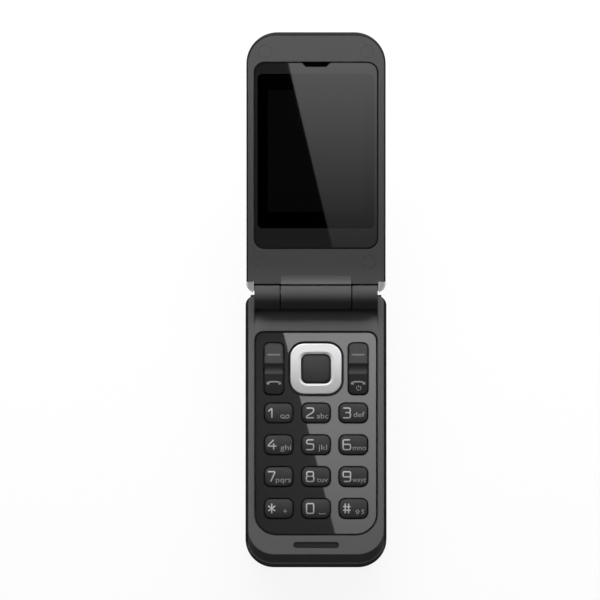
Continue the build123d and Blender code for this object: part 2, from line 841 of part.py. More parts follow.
def make_antenna():
    """A slotted sheet on the floor of the head room, with a spring leg up to the board."""
    low = base_inside + part_gap
    y_range = span(-antenna_reach, antenna_length)
    start, end = antenna_range
    sheet = slab(antenna_range, y_range, (low, low + antenna_thickness))
    for share in (0.25, 0.5, 0.75):
        x = start + share * (end - start)
        sheet -= slab(span(x, antenna_slot), (y_range[0], y_range[1] - antenna_length / 4),
                      (low, low + antenna_thickness))
    leg = slab((end - antenna_thickness, end), (y_range[1] - antenna_length / 2, y_range[1]),
               (low, board_bottom - part_gap))
    return sheet + leg


def make_hall_sensor():
    return under_board(span(magnet_offset, sensor_width), span(-sensor_reach, sensor_length), sensor_height)


def make_base_screws():
    screws = []
    for x, y in base_bosses():
        seat = screw_seat(y) + screw_fit / 2
        head = post(screw_head, seat, seat + screw_head_height, x, y)
        shank = post(screw_shank, seat, base_face - base_face_wall - screw_fit, x, y)
        slot = slab((x - screw_head, x + screw_head), (y - screw_fit, y + screw_fit),
                    (seat, seat + screw_head_height / 2))
        screws.append(head + shank - slot)
    return Compound(screws)


def hinge_can_span():
    return (base_wall + hinge_fit - barrel_half, -lid_knuckle - knuckle_gap - hinge_fit)


def make_hinge_can():
    start, end = hinge_can_span()
    can = rod(hinge_bore - hinge_fit, start, end)
    can -= rod(hinge_bore - 2 * hinge_fit - spring_wire, start + base_wall / 2, end - 2 * spring_wire)
    return can - rod(shaft_radius + screw_fit, end - 2 * spring_wire, end)


def cam_span():
    """The cam on the shaft, behind the can's end wall."""
    end = hinge_can_span()[1] - 2 * spring_wire - screw_fit
    return (end - shaft_radius, end)


def make_hinge_shaft():
    start = hinge_can_span()[0] + base_wall / 2 + screw_fit
    shaft = rod(shaft_radius, start, -lid_knuckle + hinge_fit)
    shaft += rod(hinge_bore - 4 * hinge_fit - spring_wire, *cam_span())
    hexagon = Plane.YZ.offset(-lid_knuckle) * RegularPolygon(shaft_hex, 6)
    return shaft + extrude(hexagon, lid_knuckle / 2)


def make_hinge_spring():
    """A compression spring round the shaft, pressing on the cam."""
    start = hinge_can_span()[0] + base_wall / 2 + screw_fit + spring_wire / 2
    length = cam_span()[0] - screw_fit - spring_wire / 2 - start
    radius = shaft_radius + screw_fit + spring_wire / 2
    coil = Helix(length / spring_turns, length, radius)
    wire = sweep(Plane(coil @ 0, z_dir=coil % 0) * Circle(spring_wire / 2), path=coil)
    return Pos(start, 0, 0) * Rot(0, 90, 0) * wire


def make_hinge_bush():
    end = barrel_half - base_wall - hinge_fit
    bush = rod(hinge_bore - hinge_fit, lid_knuckle - bush_nose, end)
    bush -= rod(ribbon_coil + hinge_fit + spring_wire / 2, lid_knuckle - bush_nose, end)
    return bush - ribbon_slot()


def make_board_ribbon():
    start, end = span(ribbon_base_offset, ribbon_width)
    coil = rod(ribbon_coil, start, end) - rod(ribbon_coil - ribbon_thickness, start, end)
    return coil + ribbon_sheet(ribbon_path(), start, end, ribbon_thickness / 2)


def lid_block():
    """The whole lid as one solid, before it is divided."""
    outline = panel(lid_half, lid_foot, lid_reach, lid_foot_radius, lid_top_radius)
    block = prism(outline, lid_back, lid_face)
    block = fillet(top_edges(block), lid_front_edge)
    return fillet(bottom_edges(block), lid_back_radius)


def lid_seam_band():
    """A fine groove round the lid at its seam."""
    outer = panel(lid_half + lid_wall, -lid_foot, lid_reach + lid_wall, lid_foot_radius, lid_top_radius)
    inner = panel(lid_half - seam_groove, lid_foot + seam_groove, lid_reach - seam_groove,
                  lid_foot_radius - seam_groove, lid_top_radius - seam_groove)
    return prism(outer, lid_seam - seam_groove, lid_seam) - prism(inner, lid_seam - seam_groove, lid_seam)


def cap_corner(side, gap):
    """The corner of the lid that a hinge cap takes, grown by a gap."""
    return slab((side * (cap_start - gap), side * base_width), (-lid_foot, lid_foot + cap_height + gap),
                (2 * lid_back, -lid_back))


def lid_shell():
    """The lid without its caps and the barrel's room."""
    shell = lid_block()
    for side in (-1, 1):
        shell -= cap_corner(side, cap_gap)
    return shell - rod(room_radius, -base_half, base_half)


def lid_neck():
    """The centre knuckle and the neck that carries it, with a crease between them."""
    crease = lid_face - barrel_clearance
    end = neck_reach + lid_wall
    top = lid_face + neck_rise
    points = [(0, lid_seam), (end, lid_seam), (end, lid_face - lid_front_edge), (neck_reach, lid_face),
              (neck_reach, top), (0, top)]
    neck = side_cut(points, -lid_knuckle, lid_knuckle)
    run = neck_reach - room_radius
    chord = math.hypot(run, neck_rise)
    lean = math.sqrt(neck_sweep ** 2 - chord ** 2 / 4) / chord
    hollow = Pos(0, neck_reach - run / 2 + lean * neck_rise, lid_face + neck_rise / 2 + lean * run)
    neck -= hollow * rod(neck_sweep, -lid_knuckle, lid_knuckle)
    room = rod(room_radius, -lid_knuckle, lid_knuckle)
    neck -= room & slab(both_sides(lid_knuckle), both_sides(base_half), (crease, base_half))
    return neck + rod(barrel_radius, -lid_knuckle, lid_knuckle)


def lid_ribbon_path():
    """The lid's stretch of ribbon, from its coil to the display module, as (y, z) points."""
    lift = ribbon_thickness / 2
    level = tray_back + tray_floor / 2
    start = neck_reach + lid_wall
    return [(0, lift - ribbon_coil), (start, panel_face - ribbon_room), (start + 2 * ribbon_drop, level),
            (lit_low - panel_foot - tray_wall - part_gap, level)]


def make_lid_front_case():
    above = slab((-base_width, base_width), (-base_reach, 2 * base_reach), (lid_seam, base_reach))
    case = lid_shell() & above
    cavity = panel(lid_half - lid_wall, neck_reach + lid_wall, lid_reach - lid_wall,
                   lid_wall, lid_top_radius - lid_wall)
    case -= prism(cavity, lid_seam, lid_face - lid_face_wall)
    case += lid_neck()
    case -= prism(panel(lens_half, lens_start, lens_end, lens_radius, lens_radius), lens_floor, -lid_face)
    window = panel(lit_half + display_window, lit_low - display_window, lit_high + display_window,
                   display_window, display_window)
    case -= prism(window, lid_seam, lens_floor)
    case -= slab(both_sides(notch_foot_half), span(earpiece_middle(), earpiece_slot), (lid_seam, lens_floor))
    head_floor = lid_face - plug_thickness - screw_head_height - part_gap
    for x, y in lid_bosses():
        case += post(screw_shank + screw_fit + boss_wall, lid_seam, lid_face - lid_face_wall, x, y)
        case -= post(plug_radius + plug_gap, head_floor, -lid_face, x, y)
        case -= post(screw_shank + screw_fit, lid_seam, lid_face, x, y)
    case -= rod(hinge_bore, ribbon_offset - ribbon_width / 2 - 2 * ribbon_room, lid_knuckle)
    hexagon = Plane.YZ.offset(-lid_knuckle) * RegularPolygon(shaft_hex + hinge_fit, 6)
    case -= extrude(hexagon, lid_knuckle / 2 + hinge_fit)
    start, end = span(ribbon_offset, ribbon_width + 2 * ribbon_room)
    case -= ribbon_sheet(lid_ribbon_path()[:2], start, end, ribbon_thickness / 2 + ribbon_room)
    return case


def make_lid_rear_case():
    below = slab((-base_width, base_width), (-base_reach, 2 * base_reach), (2 * lid_back, lid_seam))
    case = lid_shell() & below
    case -= lid_seam_band()
    wall = lid_wall + seam_groove
    cavity = panel(lid_half - wall, room_radius + lid_wall, lid_reach - wall,
                   lid_wall, lid_top_radius - lid_wall)
    case -= prism(cavity, lid_inside, lid_seam)
    rib_range = (lit_low - panel_foot, lit_high)
    for x in both_sides(rib_offset):
        case += slab(span(x, rib_width), rib_range, (lid_inside, tray_back - part_gap))
    ear_back = panel_face - earpiece_thickness - part_gap
    case += slab(both_sides(earpiece_width / 4), span(earpiece_middle(), rib_width), (lid_inside, ear_back))
    for x, y in lid_bosses():
        case += post(screw_shank + screw_fit + boss_wall, lid_inside, lid_seam, x, y)
        case -= post(screw_shank + hinge_fit, lid_inside, lid_seam, x, y)
    return case


def make_hinge_cap(side):
    return lid_block() & cap_corner(side, 0)


def make_display_lens():
    lens = prism(panel(lens_half - lens_gap, lens_start + lens_gap, lens_end - lens_gap,
                       lens_radius - lens_gap, lens_radius - lens_gap), lens_floor, lens_top)
    lens = fillet(top_edges(lens), lens_edge)
    return lens - prism(notch(0), lens_floor, -lid_face)


def notch(inset):
    """The earpiece's notch in the upper edge of the lens, drawn in by an inset."""
    foot = lens_end - notch_depth + inset
    top = lens_end - inset
    points = [(inset - notch_half, top), (inset - notch_foot_half, foot), (notch_foot_half - inset, foot),
              (notch_half - inset, top)]
    return make_face(Polyline(*points, close=True))


def make_earpiece_mesh():
    return prism(notch(faceplate_edge), lens_floor, lens_floor + mesh_thickness)


def earpiece_middle():
    return lens_end - notch_depth + lens_gap + earpiece_slot / 2


def make_earpiece():
    body = RectangleRounded(earpiece_width, earpiece_height, earpiece_radius)
    return Pos(0, earpiece_middle()) * prism(body, panel_face - earpiece_thickness, panel_face)


def glass_outline(margin):
    return panel(lit_half + panel_side + margin, lit_low - panel_foot - margin, lit_high + panel_top + margin,
                 tray_wall, tray_wall)


def make_lcd_panel():
    return prism(glass_outline(0), panel_back, panel_face)


def make_lcd_tray():
    tray = prism(glass_outline(tray_wall), tray_back, panel_face - tray_lip)
    return tray - prism(glass_outline(part_gap), panel_back - part_gap, panel_face)


def make_closing_magnet():
    return slab(span(magnet_offset, magnet_width), span(magnet_reach, magnet_height),
                (panel_face - magnet_thickness, panel_face))


def make_lid_screws():
    seat = lid_face - plug_thickness - part_gap
    screws = []
    for x, y in lid_bosses():
        head = post(screw_head, seat - screw_head_height, seat, x, y)
        shank = post(screw_shank, lid_inside + screw_fit, seat - screw_head_height, x, y)
        slot = slab((x - screw_head, x + screw_head), (y - screw_fit, y + screw_fit),
                    (seat - screw_head_height / 2, seat))
        screws.append(head + shank - slot)
    return Compound(screws)


def make_lid_screw_plugs():
    return Compound([post(plug_radius, lid_face - plug_thickness, lid_face, x, y) for x, y in lid_bosses()])


def make_display_ribbon():
    low, high = ribbon_offset - ribbon_width / 2, lid_knuckle - hinge_fit
    coil = rod(ribbon_coil, low, high) - rod(ribbon_coil - ribbon_thickness, low, high)
    return coil + ribbon_sheet(lid_ribbon_path(), low, low + ribbon_width, ribbon_thickness / 2)


def base_nodes():
    """Everything that stays with the base or moves on it, in the hinge frame."""
    nodes = {
        "base_front_case": make_base_front_case(),
        "base_rear_case": make_base_rear_case(),
        "battery_cover": make_battery_cover(),
        "keypad_faceplate": make_faceplate(),
        "keypad_mat": make_keypad_mat(),
        "dome_switches": make_domes(),
        "main_board": make_main_board(),
        "shield_can": make_shield_can(),
        "processor_chip": make_processor_chip(),
        "sim_holder": make_sim_holder(),
        "battery_connector": make_battery_connector(),
        "battery_contacts": make_battery_contacts(),
        "battery": make_battery(),
        "charging_port": make_charging_port(),
        "microphone": make_microphone(),
        "mic_insert": make_mic_insert(),
        "loudspeaker": make_loudspeaker(),
        "vibration_motor": make_vibration_motor(),
        "vibration_weight": make_vibration_weight(),
        "antenna": make_antenna(),
        "hall_sensor": make_hall_sensor(),
        "base_screws": make_base_screws(),
        "hinge_can": make_hinge_can(),
        "hinge_spring": make_hinge_spring(),
        "hinge_bush": make_hinge_bush(),
        "board_ribbon": make_board_ribbon(),
    }
    at_nav = Pos(0, nav_y)
    nodes["nav_actuator"] = at_nav * make_nav_actuator()
    nodes["nav_ring"] = at_nav * make_nav_ring()
    nodes["select_key"] = at_nav * make_select_key()
    rocker = make_rocker()
    nodes["left_rocker_key"] = Pos(-rocker_x, nav_y) * rocker
    nodes["right_rocker_key"] = Pos(rocker_x, nav_y) * rocker
    key = make_number_key()
    names = [str(digit) for digit in range(1, 10)] + ["star", "0", "hash"]
    for name, place in zip(names, key_places()):
        nodes["key_" + name] = Pos(*place) * key
    return nodes


def lid_nodes():
    """Everything that folds with the lid, drawn flat in the hinge frame."""
    return {
        "lid_front_case": make_lid_front_case(),
        "lid_rear_case": make_lid_rear_case(),
        "left_hinge_cap": make_hinge_cap(-1),
        "right_hinge_cap": make_hinge_cap(1),
        "display_lens": make_display_lens(),
        "lcd_panel": make_lcd_panel(),
        "lcd_tray": make_lcd_tray(),
        "earpiece": make_earpiece(),
        "earpiece_mesh": make_earpiece_mesh(),
        "closing_magnet": make_closing_magnet(),
        "lid_screws": make_lid_screws(),
        "lid_screw_plugs": make_lid_screw_plugs(),
        "hinge_shaft": make_hinge_shaft(),
        "display_ribbon": make_display_ribbon(),
    }


def main():
    nodes = base_nodes()
    for name, shape in lid_nodes().items():
        nodes[name] = Rot(lid_tilt, 0, 0) * shape
    whole = Compound(list(nodes.values())).bounding_box()
    on_back = Pos(-whole.center().X, -whole.center().Y, -whole.min.Z)
    os.makedirs("parts", exist_ok=True)
    for name, shape in nodes.items():
        export_step(on_back * shape, f"parts/{name}.step")
    print("nodes", len(nodes), "size", whole.size)
    print("hinge axis at", on_back.position)
    print("ring and rockers at", nav_y, rocker_x)
    print("pivot heights", actuator_top, actuator_bottom, rocker_pivot)
    print("motor axis", -motor_reach, motor_height())
    print("socket", -port_reach, board_bottom - part_gap - port_height / 2)
    print("key rows", first_row, row_pitch, "columns", column_pitch)


main()
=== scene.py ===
import bpy
import bmesh
import json
import math
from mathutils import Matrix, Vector


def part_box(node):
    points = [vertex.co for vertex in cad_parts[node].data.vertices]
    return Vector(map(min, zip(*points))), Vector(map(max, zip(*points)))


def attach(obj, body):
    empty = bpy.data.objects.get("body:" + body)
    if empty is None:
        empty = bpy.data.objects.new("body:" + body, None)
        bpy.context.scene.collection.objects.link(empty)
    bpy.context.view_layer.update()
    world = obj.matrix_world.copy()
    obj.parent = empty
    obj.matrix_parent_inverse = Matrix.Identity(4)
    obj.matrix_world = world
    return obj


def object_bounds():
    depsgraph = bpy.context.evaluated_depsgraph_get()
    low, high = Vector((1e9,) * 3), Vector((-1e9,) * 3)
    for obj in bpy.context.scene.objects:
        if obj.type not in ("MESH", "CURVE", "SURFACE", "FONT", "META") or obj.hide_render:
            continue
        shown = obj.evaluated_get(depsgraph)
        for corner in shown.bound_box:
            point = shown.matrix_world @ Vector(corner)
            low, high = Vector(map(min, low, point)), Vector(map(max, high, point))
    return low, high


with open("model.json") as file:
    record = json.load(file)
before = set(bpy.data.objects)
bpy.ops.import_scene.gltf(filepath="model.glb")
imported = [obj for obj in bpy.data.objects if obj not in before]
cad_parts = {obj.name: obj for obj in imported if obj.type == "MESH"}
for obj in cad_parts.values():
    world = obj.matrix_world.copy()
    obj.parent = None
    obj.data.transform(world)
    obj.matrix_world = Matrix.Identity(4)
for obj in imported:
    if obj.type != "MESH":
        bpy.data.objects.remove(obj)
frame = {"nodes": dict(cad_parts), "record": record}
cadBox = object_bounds()
nodes = frame["nodes"]
joints = {joint["name"]: joint for joint in frame["record"]["behaviour"]["joints"]}
slotOf = {row["node"]: row["material_slot"] for row in frame["record"]["subparts"]}
mm = 0.001

hinge = Vector(joints["lid_fold"]["pos_m"])
lidRise = math.radians(180 - joints["lid_fold"]["range_deg"][1])  # how far the open lid stands up
lidUp = Vector((0, math.cos(lidRise), math.sin(lidRise)))  # along the lid, away from the hinge
lidOut = Vector((0, -math.sin(lidRise), math.cos(lidRise)))  # out of the display
baseUp = Vector((0, 1, 0))  # along the base, towards the hinge
baseOut = Vector((0, 0, 1))  # out of the keypad
print("frame:", len(nodes), "nodes, lid raised", round(math.degrees(lidRise), 1), "degrees")


class Wire:
    def __init__(self, finish, socket):
        self.finish = finish
        self.socket = socket

    def maths(self, operation, *values):
        return self.finish.node("ShaderNodeMath", {"operation": operation}, dict(enumerate(values)))

    def __add__(self, other):
        return self.maths("ADD", self, other)

    __radd__ = __add__

    def __sub__(self, other):
        return self.maths("SUBTRACT", self, other)

    def __rsub__(self, other):
        return self.maths("SUBTRACT", other, self)

    def __mul__(self, other):
        return self.maths("MULTIPLY", self, other)

    __rmul__ = __mul__

    def __pow__(self, other):
        return self.maths("POWER", self, other)

    def __abs__(self):
        return self.maths("ABSOLUTE", self)

    def most(self, other):
        return self.maths("MAXIMUM", self, other)

    def wave(self, length):  # 0 to 1 and back over each length
        return self.maths("SINE", self * (2 * math.pi / length)) * 0.5 + 0.5

    def rise(self, low, high):  # 0 below low, 1 above high, soft between
        return self.finish.node(
            "ShaderNodeMapRange", {"interpolation_type": "SMOOTHSTEP"}, {"Value": self, 1: low, 2: high}
        )


class Finish:
    def __init__(self, owner):
        owner.use_nodes = True
        self.owner = owner
        self.tree = owner.node_tree
        self.tree.nodes.clear()

    def node(self, kind, settings=None, sockets=None, out=0):
        made = self.tree.nodes.new(kind)
        for name, value in (settings or {}).items():
            setattr(made, name, value)
        for name, value in (sockets or {}).items():
            if isinstance(value, Wire):
                self.tree.links.new(value.socket, made.inputs[name])
            else:
                made.inputs[name].default_value = value
        return Wire(self, made.outputs[out]) if made.outputs else None

    def place(self):
        return self.node("ShaderNodeTexCoord", out="Object")

    def split(self, vector):
        parts = self.node("ShaderNodeSeparateXYZ", {}, {0: vector}).socket.node
        return [Wire(self, socket) for socket in parts.outputs]

    def xyz(self):
        return self.split(self.place())

    def onLid(self):  # across the lid, and along it from the hinge
        x, y, z = self.xyz()
        return x, (y - hinge.y) * lidUp.y + (z - hinge.z) * lidUp.z

    def speckle(self, size, detail=3.0, stretch=(1, 1, 1)):
        spread = self.node("ShaderNodeMapping", {}, {"Vector": self.place(), "Scale": stretch})
        return self.node("ShaderNodeTexNoise", {}, {"Vector": spread, "Scale": 1 / size, "Detail": detail})

    def cells(self, size):
        return self.node("ShaderNodeTexVoronoi", {}, {"Vector": self.place(), "Scale": 1 / size})

    def tint(self, mask, low, high):  # low where the mask is 0, high where it is 1
        # 6, 7 and output 2 are the node's colours
        return self.node("ShaderNodeMix", {"data_type": "RGBA"}, {0: mask, 6: low, 7: high}, 2)

    def mottle(self, mask, tone, spread):  # a grey that varies round its tone
        return self.tint(mask, grey(tone * spread[0]), grey(tone * spread[1]))

    def bump(self, height, depth, strength):
        return self.node("ShaderNodeBump", {}, {"Strength": strength, "Distance": depth, "Height": height})

    def rim(self, width):  # 1 on the outer edges of a piece
        settings = {"inside": True, "only_local": True, "samples": 6}
        return 1 - self.node("ShaderNodeAmbientOcclusion", settings, {"Distance": width}, "AO")

    def coat(self, sockets):
        shade = self.node("ShaderNodeBsdfPrincipled", {}, sockets)
        self.node("ShaderNodeOutputMaterial", {}, {"Surface": shade})
        return self.owner

    def glow(self, colour, strength):
        light = self.node("ShaderNodeEmission", {}, {"Color": colour, "Strength": strength})
        self.node("ShaderNodeOutputMaterial", {}, {"Surface": light})
        return self.owner


def newFinish(name):
    return Finish(bpy.data.materials.new(name))


def grey(value):
    return (value, value, value * 1.01, 1)  # a touch cool


def reach(across, along):  # distance from 0
    return (across * across + along * along) ** 0.5


def inWindow(across, along, window, soft):  # 1 inside a window with round corners
    half, foot, head, corner = window
    sideways = (abs(across) - (half - corner)).most(0)
    lengthways = (abs(along - (foot + head) / 2) - ((head - foot) / 2 - corner)).most(0)
    return 1 - reach(sideways, lengthways).rise(corner - soft, corner + soft)


# Camera

view = {
    "pixels": 600,
    "pixelSize": 0.33 * mm,
    "hingeAt": (316.0, 297.5),  # where the hinge line stands in the picture
    "elevation": 82.5,
    "distance": 6.0,
    "sensor": 36.0,
    "clipFrom": 0.01,
}
viewTall = math.radians(view["elevation"])
viewBack = Vector((0, -math.cos(viewTall), math.sin(viewTall)))
viewUp = Vector((0, math.sin(viewTall), math.cos(viewTall)))
viewRight = Vector((1, 0, 0))


def fromCentre(pixel):
    across = (pixel[0] - view["pixels"] / 2) * view["pixelSize"]
    down = (pixel[1] - view["pixels"] / 2) * view["pixelSize"]
    return viewRight * across - viewUp * down


viewTarget = hinge - fromCentre(view["hingeAt"])
viewEye = viewTarget + viewBack * view["distance"]


def placeCamera():
    data = bpy.data.cameras.new("camera")
    data.sensor_width = view["sensor"]
    data.lens = view["sensor"] * view["distance"] / (view["pixels"] * view["pixelSize"])
    data.clip_start = view["clipFrom"]
    camera = bpy.data.objects.new("camera", data)
    camera.location = viewEye
    camera.rotation_euler = (math.radians(90 - view["elevation"]), 0, 0)
    bpy.context.scene.collection.objects.link(camera)
    bpy.context.scene.camera = camera


placeCamera()
print("camera: set square over the hinge")


# Shells

shell = {  # paint on the faces, bare moulding on the sides and the barrel
    "base": {
        "out": baseOut, "face": 0.089, "side": 0.075, "barrel": 0.036, "specular": 0.25,
        "rim": 0.4 * mm, "rimFrom": (0.2, 0.6),
        "outline": 0.9 * mm, "outlineSoft": 0.15 * mm, "outlineFoot": -1.0,  # painted shade: dark sides, open towards the chin
        "earHead": 3.2 * mm, "earCorner": 4.0 * mm,
    },
    "lid": {
        "out": lidOut, "side": 0.006, "barrel": 0.043, "specular": 0.2,
        "face": 0.113, "shadeDipTone": 0.076, "shadeFootTone": 0.109,  # tones at the lid's top, below the lens, at its foot: painted shade, darker where less light reaches
        "top": 85 * mm, "dip": 13 * mm, "foot": 2 * mm,  # where these lie, from the hinge
        # crease: how far from the hinge's axis a painted shadow line reaches, where the lid meets the barrel
        "rim": 0.5 * mm, "corner": 9.5 * mm, "crease": 4.5 * mm,
    },
    "paintFrom": (0.72, 0.88), "cloud": 14 * mm, "fleck": 0.02, "fleckTone": 0.3,
    "roughness": 0.6, "grain": 0.22 * mm, "grainRough": 0.12, "depth": 0.004 * mm, "strength": 0.5,
    "barrelReach": 4.05 * mm, "barrelHalf": 20.37 * mm, "barrelEnd": 0.05 * mm, "barrelRough": 0.24,
    # the rim tone is painted shade: dark on rounded edges, outlines and the hinge crease
    "shadeRimTone": 0.008, "rimRough": 0.2, "soft": 0.1 * mm,
}


def hingeReach(f):  # distance from the hinge's axis
    y, z = f.xyz()[1:]
    return reach(y - hinge.y, z - hinge.z)


def offBarrelMask(f):  # 0 on the hinge barrel, 1 elsewhere
    beside = abs(f.xyz()[0]).rise(shell["barrelHalf"], shell["barrelHalf"] + shell["barrelEnd"])
    return hingeReach(f).rise(shell["barrelReach"], shell["barrelReach"] + shell["soft"]).most(beside)


def lidRimShadeMask(f):  # 1 near the lid's outline, 0 inside it, where shade is painted
    own = shell["lid"]
    across, along = f.onLid()
    spots = [vert.co - hinge for vert in nodes["lid_front_case"].data.vertices]
    half = max(spot.x for spot in spots) - own["rim"]
    head = max(spot.dot(lidUp) for spot in spots) - own["rim"]
    return 1 - inWindow(across, along, (half, -head, head, own["corner"]), shell["soft"])


def baseRimShadeMask(f):  # 1 near the base's sides and ears, 0 inside them, where shade is painted
    own = shell["base"]
    x, y = f.xyz()[:2]
    half = max(vert.co.x for vert in nodes["base_front_case"].data.vertices) - own["outline"]
    head = own["earHead"] - own["outline"]
    corner = own["earCorner"] - own["outline"]
    return 1 - inWindow(x, y, (half, own["outlineFoot"], head, corner), own["outlineSoft"])


def shellPlastic(name):
    f = newFinish(name + "Shell")
    own = shell[name]
    grain = f.speckle(shell["grain"])
    cloud = f.speckle(shell["cloud"])
    normal = f.node("ShaderNodeTexCoord", out="Normal")
    facing = f.node("ShaderNodeVectorMath", {"operation": "DOT_PRODUCT"}, {0: normal, 1: own["out"]}, "Value")
    offBarrel = offBarrelMask(f)
    painted = facing.rise(*shell["paintFrom"]) * offBarrel
    paint = grey(own["face"])
    if name == "lid":
        # painted shade along the lid: darker below the lens, paler at its top and foot
        along = f.onLid()[1]
        paint = f.tint(along.rise(own["dip"], own["top"]), grey(own["shadeDipTone"]), paint)
        paint = f.tint(along.rise(own["foot"], own["dip"]), grey(own["shadeFootTone"]), paint)
        # painted shadow: a dark line in the crease where the lid meets the barrel
        crease = 1 - hingeReach(f).rise(own["crease"], own["crease"] + shell["soft"])
        edge = lidRimShadeMask(f).most(crease * offBarrel)
    else:
        # painted shade: dark on the base's convex edges and along its sides and ears
        edge = f.rim(own["rim"]).rise(*own["rimFrom"]).most(baseRimShadeMask(f)) * offBarrel
    bare = f.tint(offBarrel, grey(own["barrel"]), grey(own["side"]))
    tone = f.tint(painted, bare, paint)
    tone = f.tint(cloud * shell["fleck"] * painted, tone, grey(shell["fleckTone"]))
    rougher = (1 - offBarrel) * shell["barrelRough"] + edge * shell["rimRough"]
    return f.coat({
        "Base Color": f.tint(edge, tone, grey(shell["shadeRimTone"])),
        "Roughness": shell["roughness"] + rougher + (grain - 0.5) * shell["grainRough"],
        "Specular IOR Level": own["specular"],
        "Normal": f.bump(grain, shell["depth"], shell["strength"]),
    })


rear = {
    "tone": 0.022, "spread": (0.86, 1.14), "specular": 0.4, "grainRough": 0.16, "strength": 0.6,
    "rim": 0.4 * mm, "rimFrom": (0.3, 0.8), "wornTone": 0.0352, "worn": 0.5, "wornRough": 0.08,  # rubbed edges
}


def rearPlastic():
    f = newFinish("rearPlastic")
    grain = f.speckle(shell["grain"])
    cloud = f.speckle(shell["cloud"])
    edge = f.rim(rear["rim"]).rise(*rear["rimFrom"])
    tone = f.mottle(cloud, rear["tone"], rear["spread"])
    return f.coat({
        "Base Color": f.tint(edge * rear["worn"], tone, grey(rear["wornTone"])),
        "Roughness": shell["roughness"] + (grain - 0.5) * rear["grainRough"] - edge * rear["wornRough"],
        "Specular IOR Level": rear["specular"],
        "Normal": f.bump(grain, shell["depth"], rear["strength"]),
    })


# Keypad

panel = {
    "tone": 0.0135, "spread": (0.9, 1.12), "cloud": 9 * mm, "specular": 0.15,
    "roughness": 0.2, "grain": 0.4 * mm, "grainRough": 0.1, "coat": 0.5, "coatRoughness": 0.012,
    "rim": 0.5 * mm, "rimFrom": (0.2, 0.5), "shadeRimTone": 0.002,
}


def panelPolish():
    f = newFinish("panelPolish")
    cloud = f.speckle(panel["cloud"], 2.0)
    # painted shade: the faceplate goes near-black on its edges round the openings, where the gaps are shaded
    edge = f.rim(panel["rim"]).rise(*panel["rimFrom"])
    tone = f.mottle(cloud, panel["tone"], panel["spread"])
    return f.coat({
        "Base Color": f.tint(edge, tone, grey(panel["shadeRimTone"])),
        "Roughness": panel["roughness"] + f.speckle(panel["grain"], 2.0) * panel["grainRough"],
        "Specular IOR Level": panel["specular"],
        "Coat Weight": panel["coat"] - edge * panel["coat"],
        "Coat Roughness": panel["coatRoughness"],
    })


keyCap = {
    "tone": 0.027, "selectTone": 0.034, "cloud": 5 * mm, "fleck": 0.02, "fleckTone": 0.3, "specular": 0.2,
    "roughness": 0.5, "grain": 0.3 * mm, "grainRough": 0.05,
    "rim": 0.8 * mm, "shadeRimTone": 0.004, "rimRough": 0.2,
    "outlineFrom": (0.5, 0.75), "shoulderFrom": (0.1, 0.5), "shoulder": 0.65,  # painted shade: dark outline, darker shoulder, for the shaded gap round each key
}
rockerTop = {
    "tone": 0.012, "shadeBands": ((-1.7 * mm, 0.02), (1.9 * mm, 0.048)), "soft": 0.2 * mm,  # tone above each height: painted light and shade, pale on the upper pad, darker in the groove and on the lower pad
}


def keyGloss(name, tone, shadeBands=()):
    f = newFinish(name)
    cloud = f.speckle(keyCap["cloud"], 2.0)
    rim = f.rim(keyCap["rim"])
    # painted shade: a dark outline and a darker shoulder round the key's edge
    outline = rim.rise(*keyCap["outlineFrom"])
    shoulder = rim.rise(*keyCap["shoulderFrom"]) * keyCap["shoulder"]
    shade = grey(tone)
    # painted shade: a tone for each band of the key's height
    for start, above in shadeBands:
        upper = f.xyz()[1].rise(start - rockerTop["soft"], start + rockerTop["soft"])
        shade = f.tint(upper, shade, grey(above))
    shade = f.tint(cloud * keyCap["fleck"], shade, grey(keyCap["fleckTone"]))
    shade = f.tint(shoulder, shade, grey(keyCap["shadeRimTone"]))
    grain = f.speckle(keyCap["grain"], 2.0)
    return f.coat({
        "Base Color": f.tint(outline, shade, grey(keyCap["shadeRimTone"])),
        "Roughness": keyCap["roughness"] + grain * keyCap["grainRough"] + outline * keyCap["rimRough"],
        "Specular IOR Level": keyCap["specular"],
    })


def rockerGloss():
    low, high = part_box("left_rocker_key")
    middle = (low.y + high.y) / 2
    shadeBands = [(middle + up, tone) for up, tone in rockerTop["shadeBands"]]
    return keyGloss("rockerGloss", rockerTop["tone"], shadeBands)


ring = {
    # head and foot are painted shade: the ring is paler at its top and darker at its foot
    "head": 0.76, "foot": 0.45, "metal": 0.3, "roughness": 0.42,
    "flake": 0.09 * mm, "glint": 0.1, "flakeRough": 0.08, "depth": 0.002 * mm, "strength": 0.25,
}


def ringSilver():
    f = newFinish("ringSilver")
    flake = f.cells(ring["flake"])
    low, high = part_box("nav_ring")
    # painted shade: paler towards the top of the ring, darker towards its foot
    tone = f.tint(f.xyz()[1].rise(low.y, high.y), grey(ring["foot"]), grey(ring["head"]))
    return f.coat({
        "Base Color": f.tint(flake * ring["glint"], tone, grey(1.0)),
        "Metallic": ring["metal"],
        "Roughness": ring["roughness"] + (flake - 0.5) * ring["flakeRough"],
        "Normal": f.bump(flake, ring["depth"], ring["strength"]),
    })


mat = {
    "dark": grey(0.0425), "pale": (0.05, 0.05, 0.051, 1), "cloud": 6 * mm, "roughness": 0.62,
    "dust": 0.35 * mm, "dustRough": 0.2, "depth": 0.01 * mm, "strength": 0.4,
    "soaks": 0.1, "soakDepth": (1 * mm, 1 * mm, 1 * mm),  # light that enters the rubber
}


def softRubber():
    f = newFinish("softRubber")
    cloud = f.speckle(mat["cloud"])
    dust = f.speckle(mat["dust"])
    return f.coat({
        "Base Color": f.tint(cloud, mat["dark"], mat["pale"]),
        "Roughness": mat["roughness"] + (dust - 0.5) * mat["dustRough"],
        "Subsurface Weight": mat["soaks"],
        "Subsurface Radius": mat["soakDepth"],
        "Normal": f.bump(dust, mat["depth"], mat["strength"]),
    })


# Display

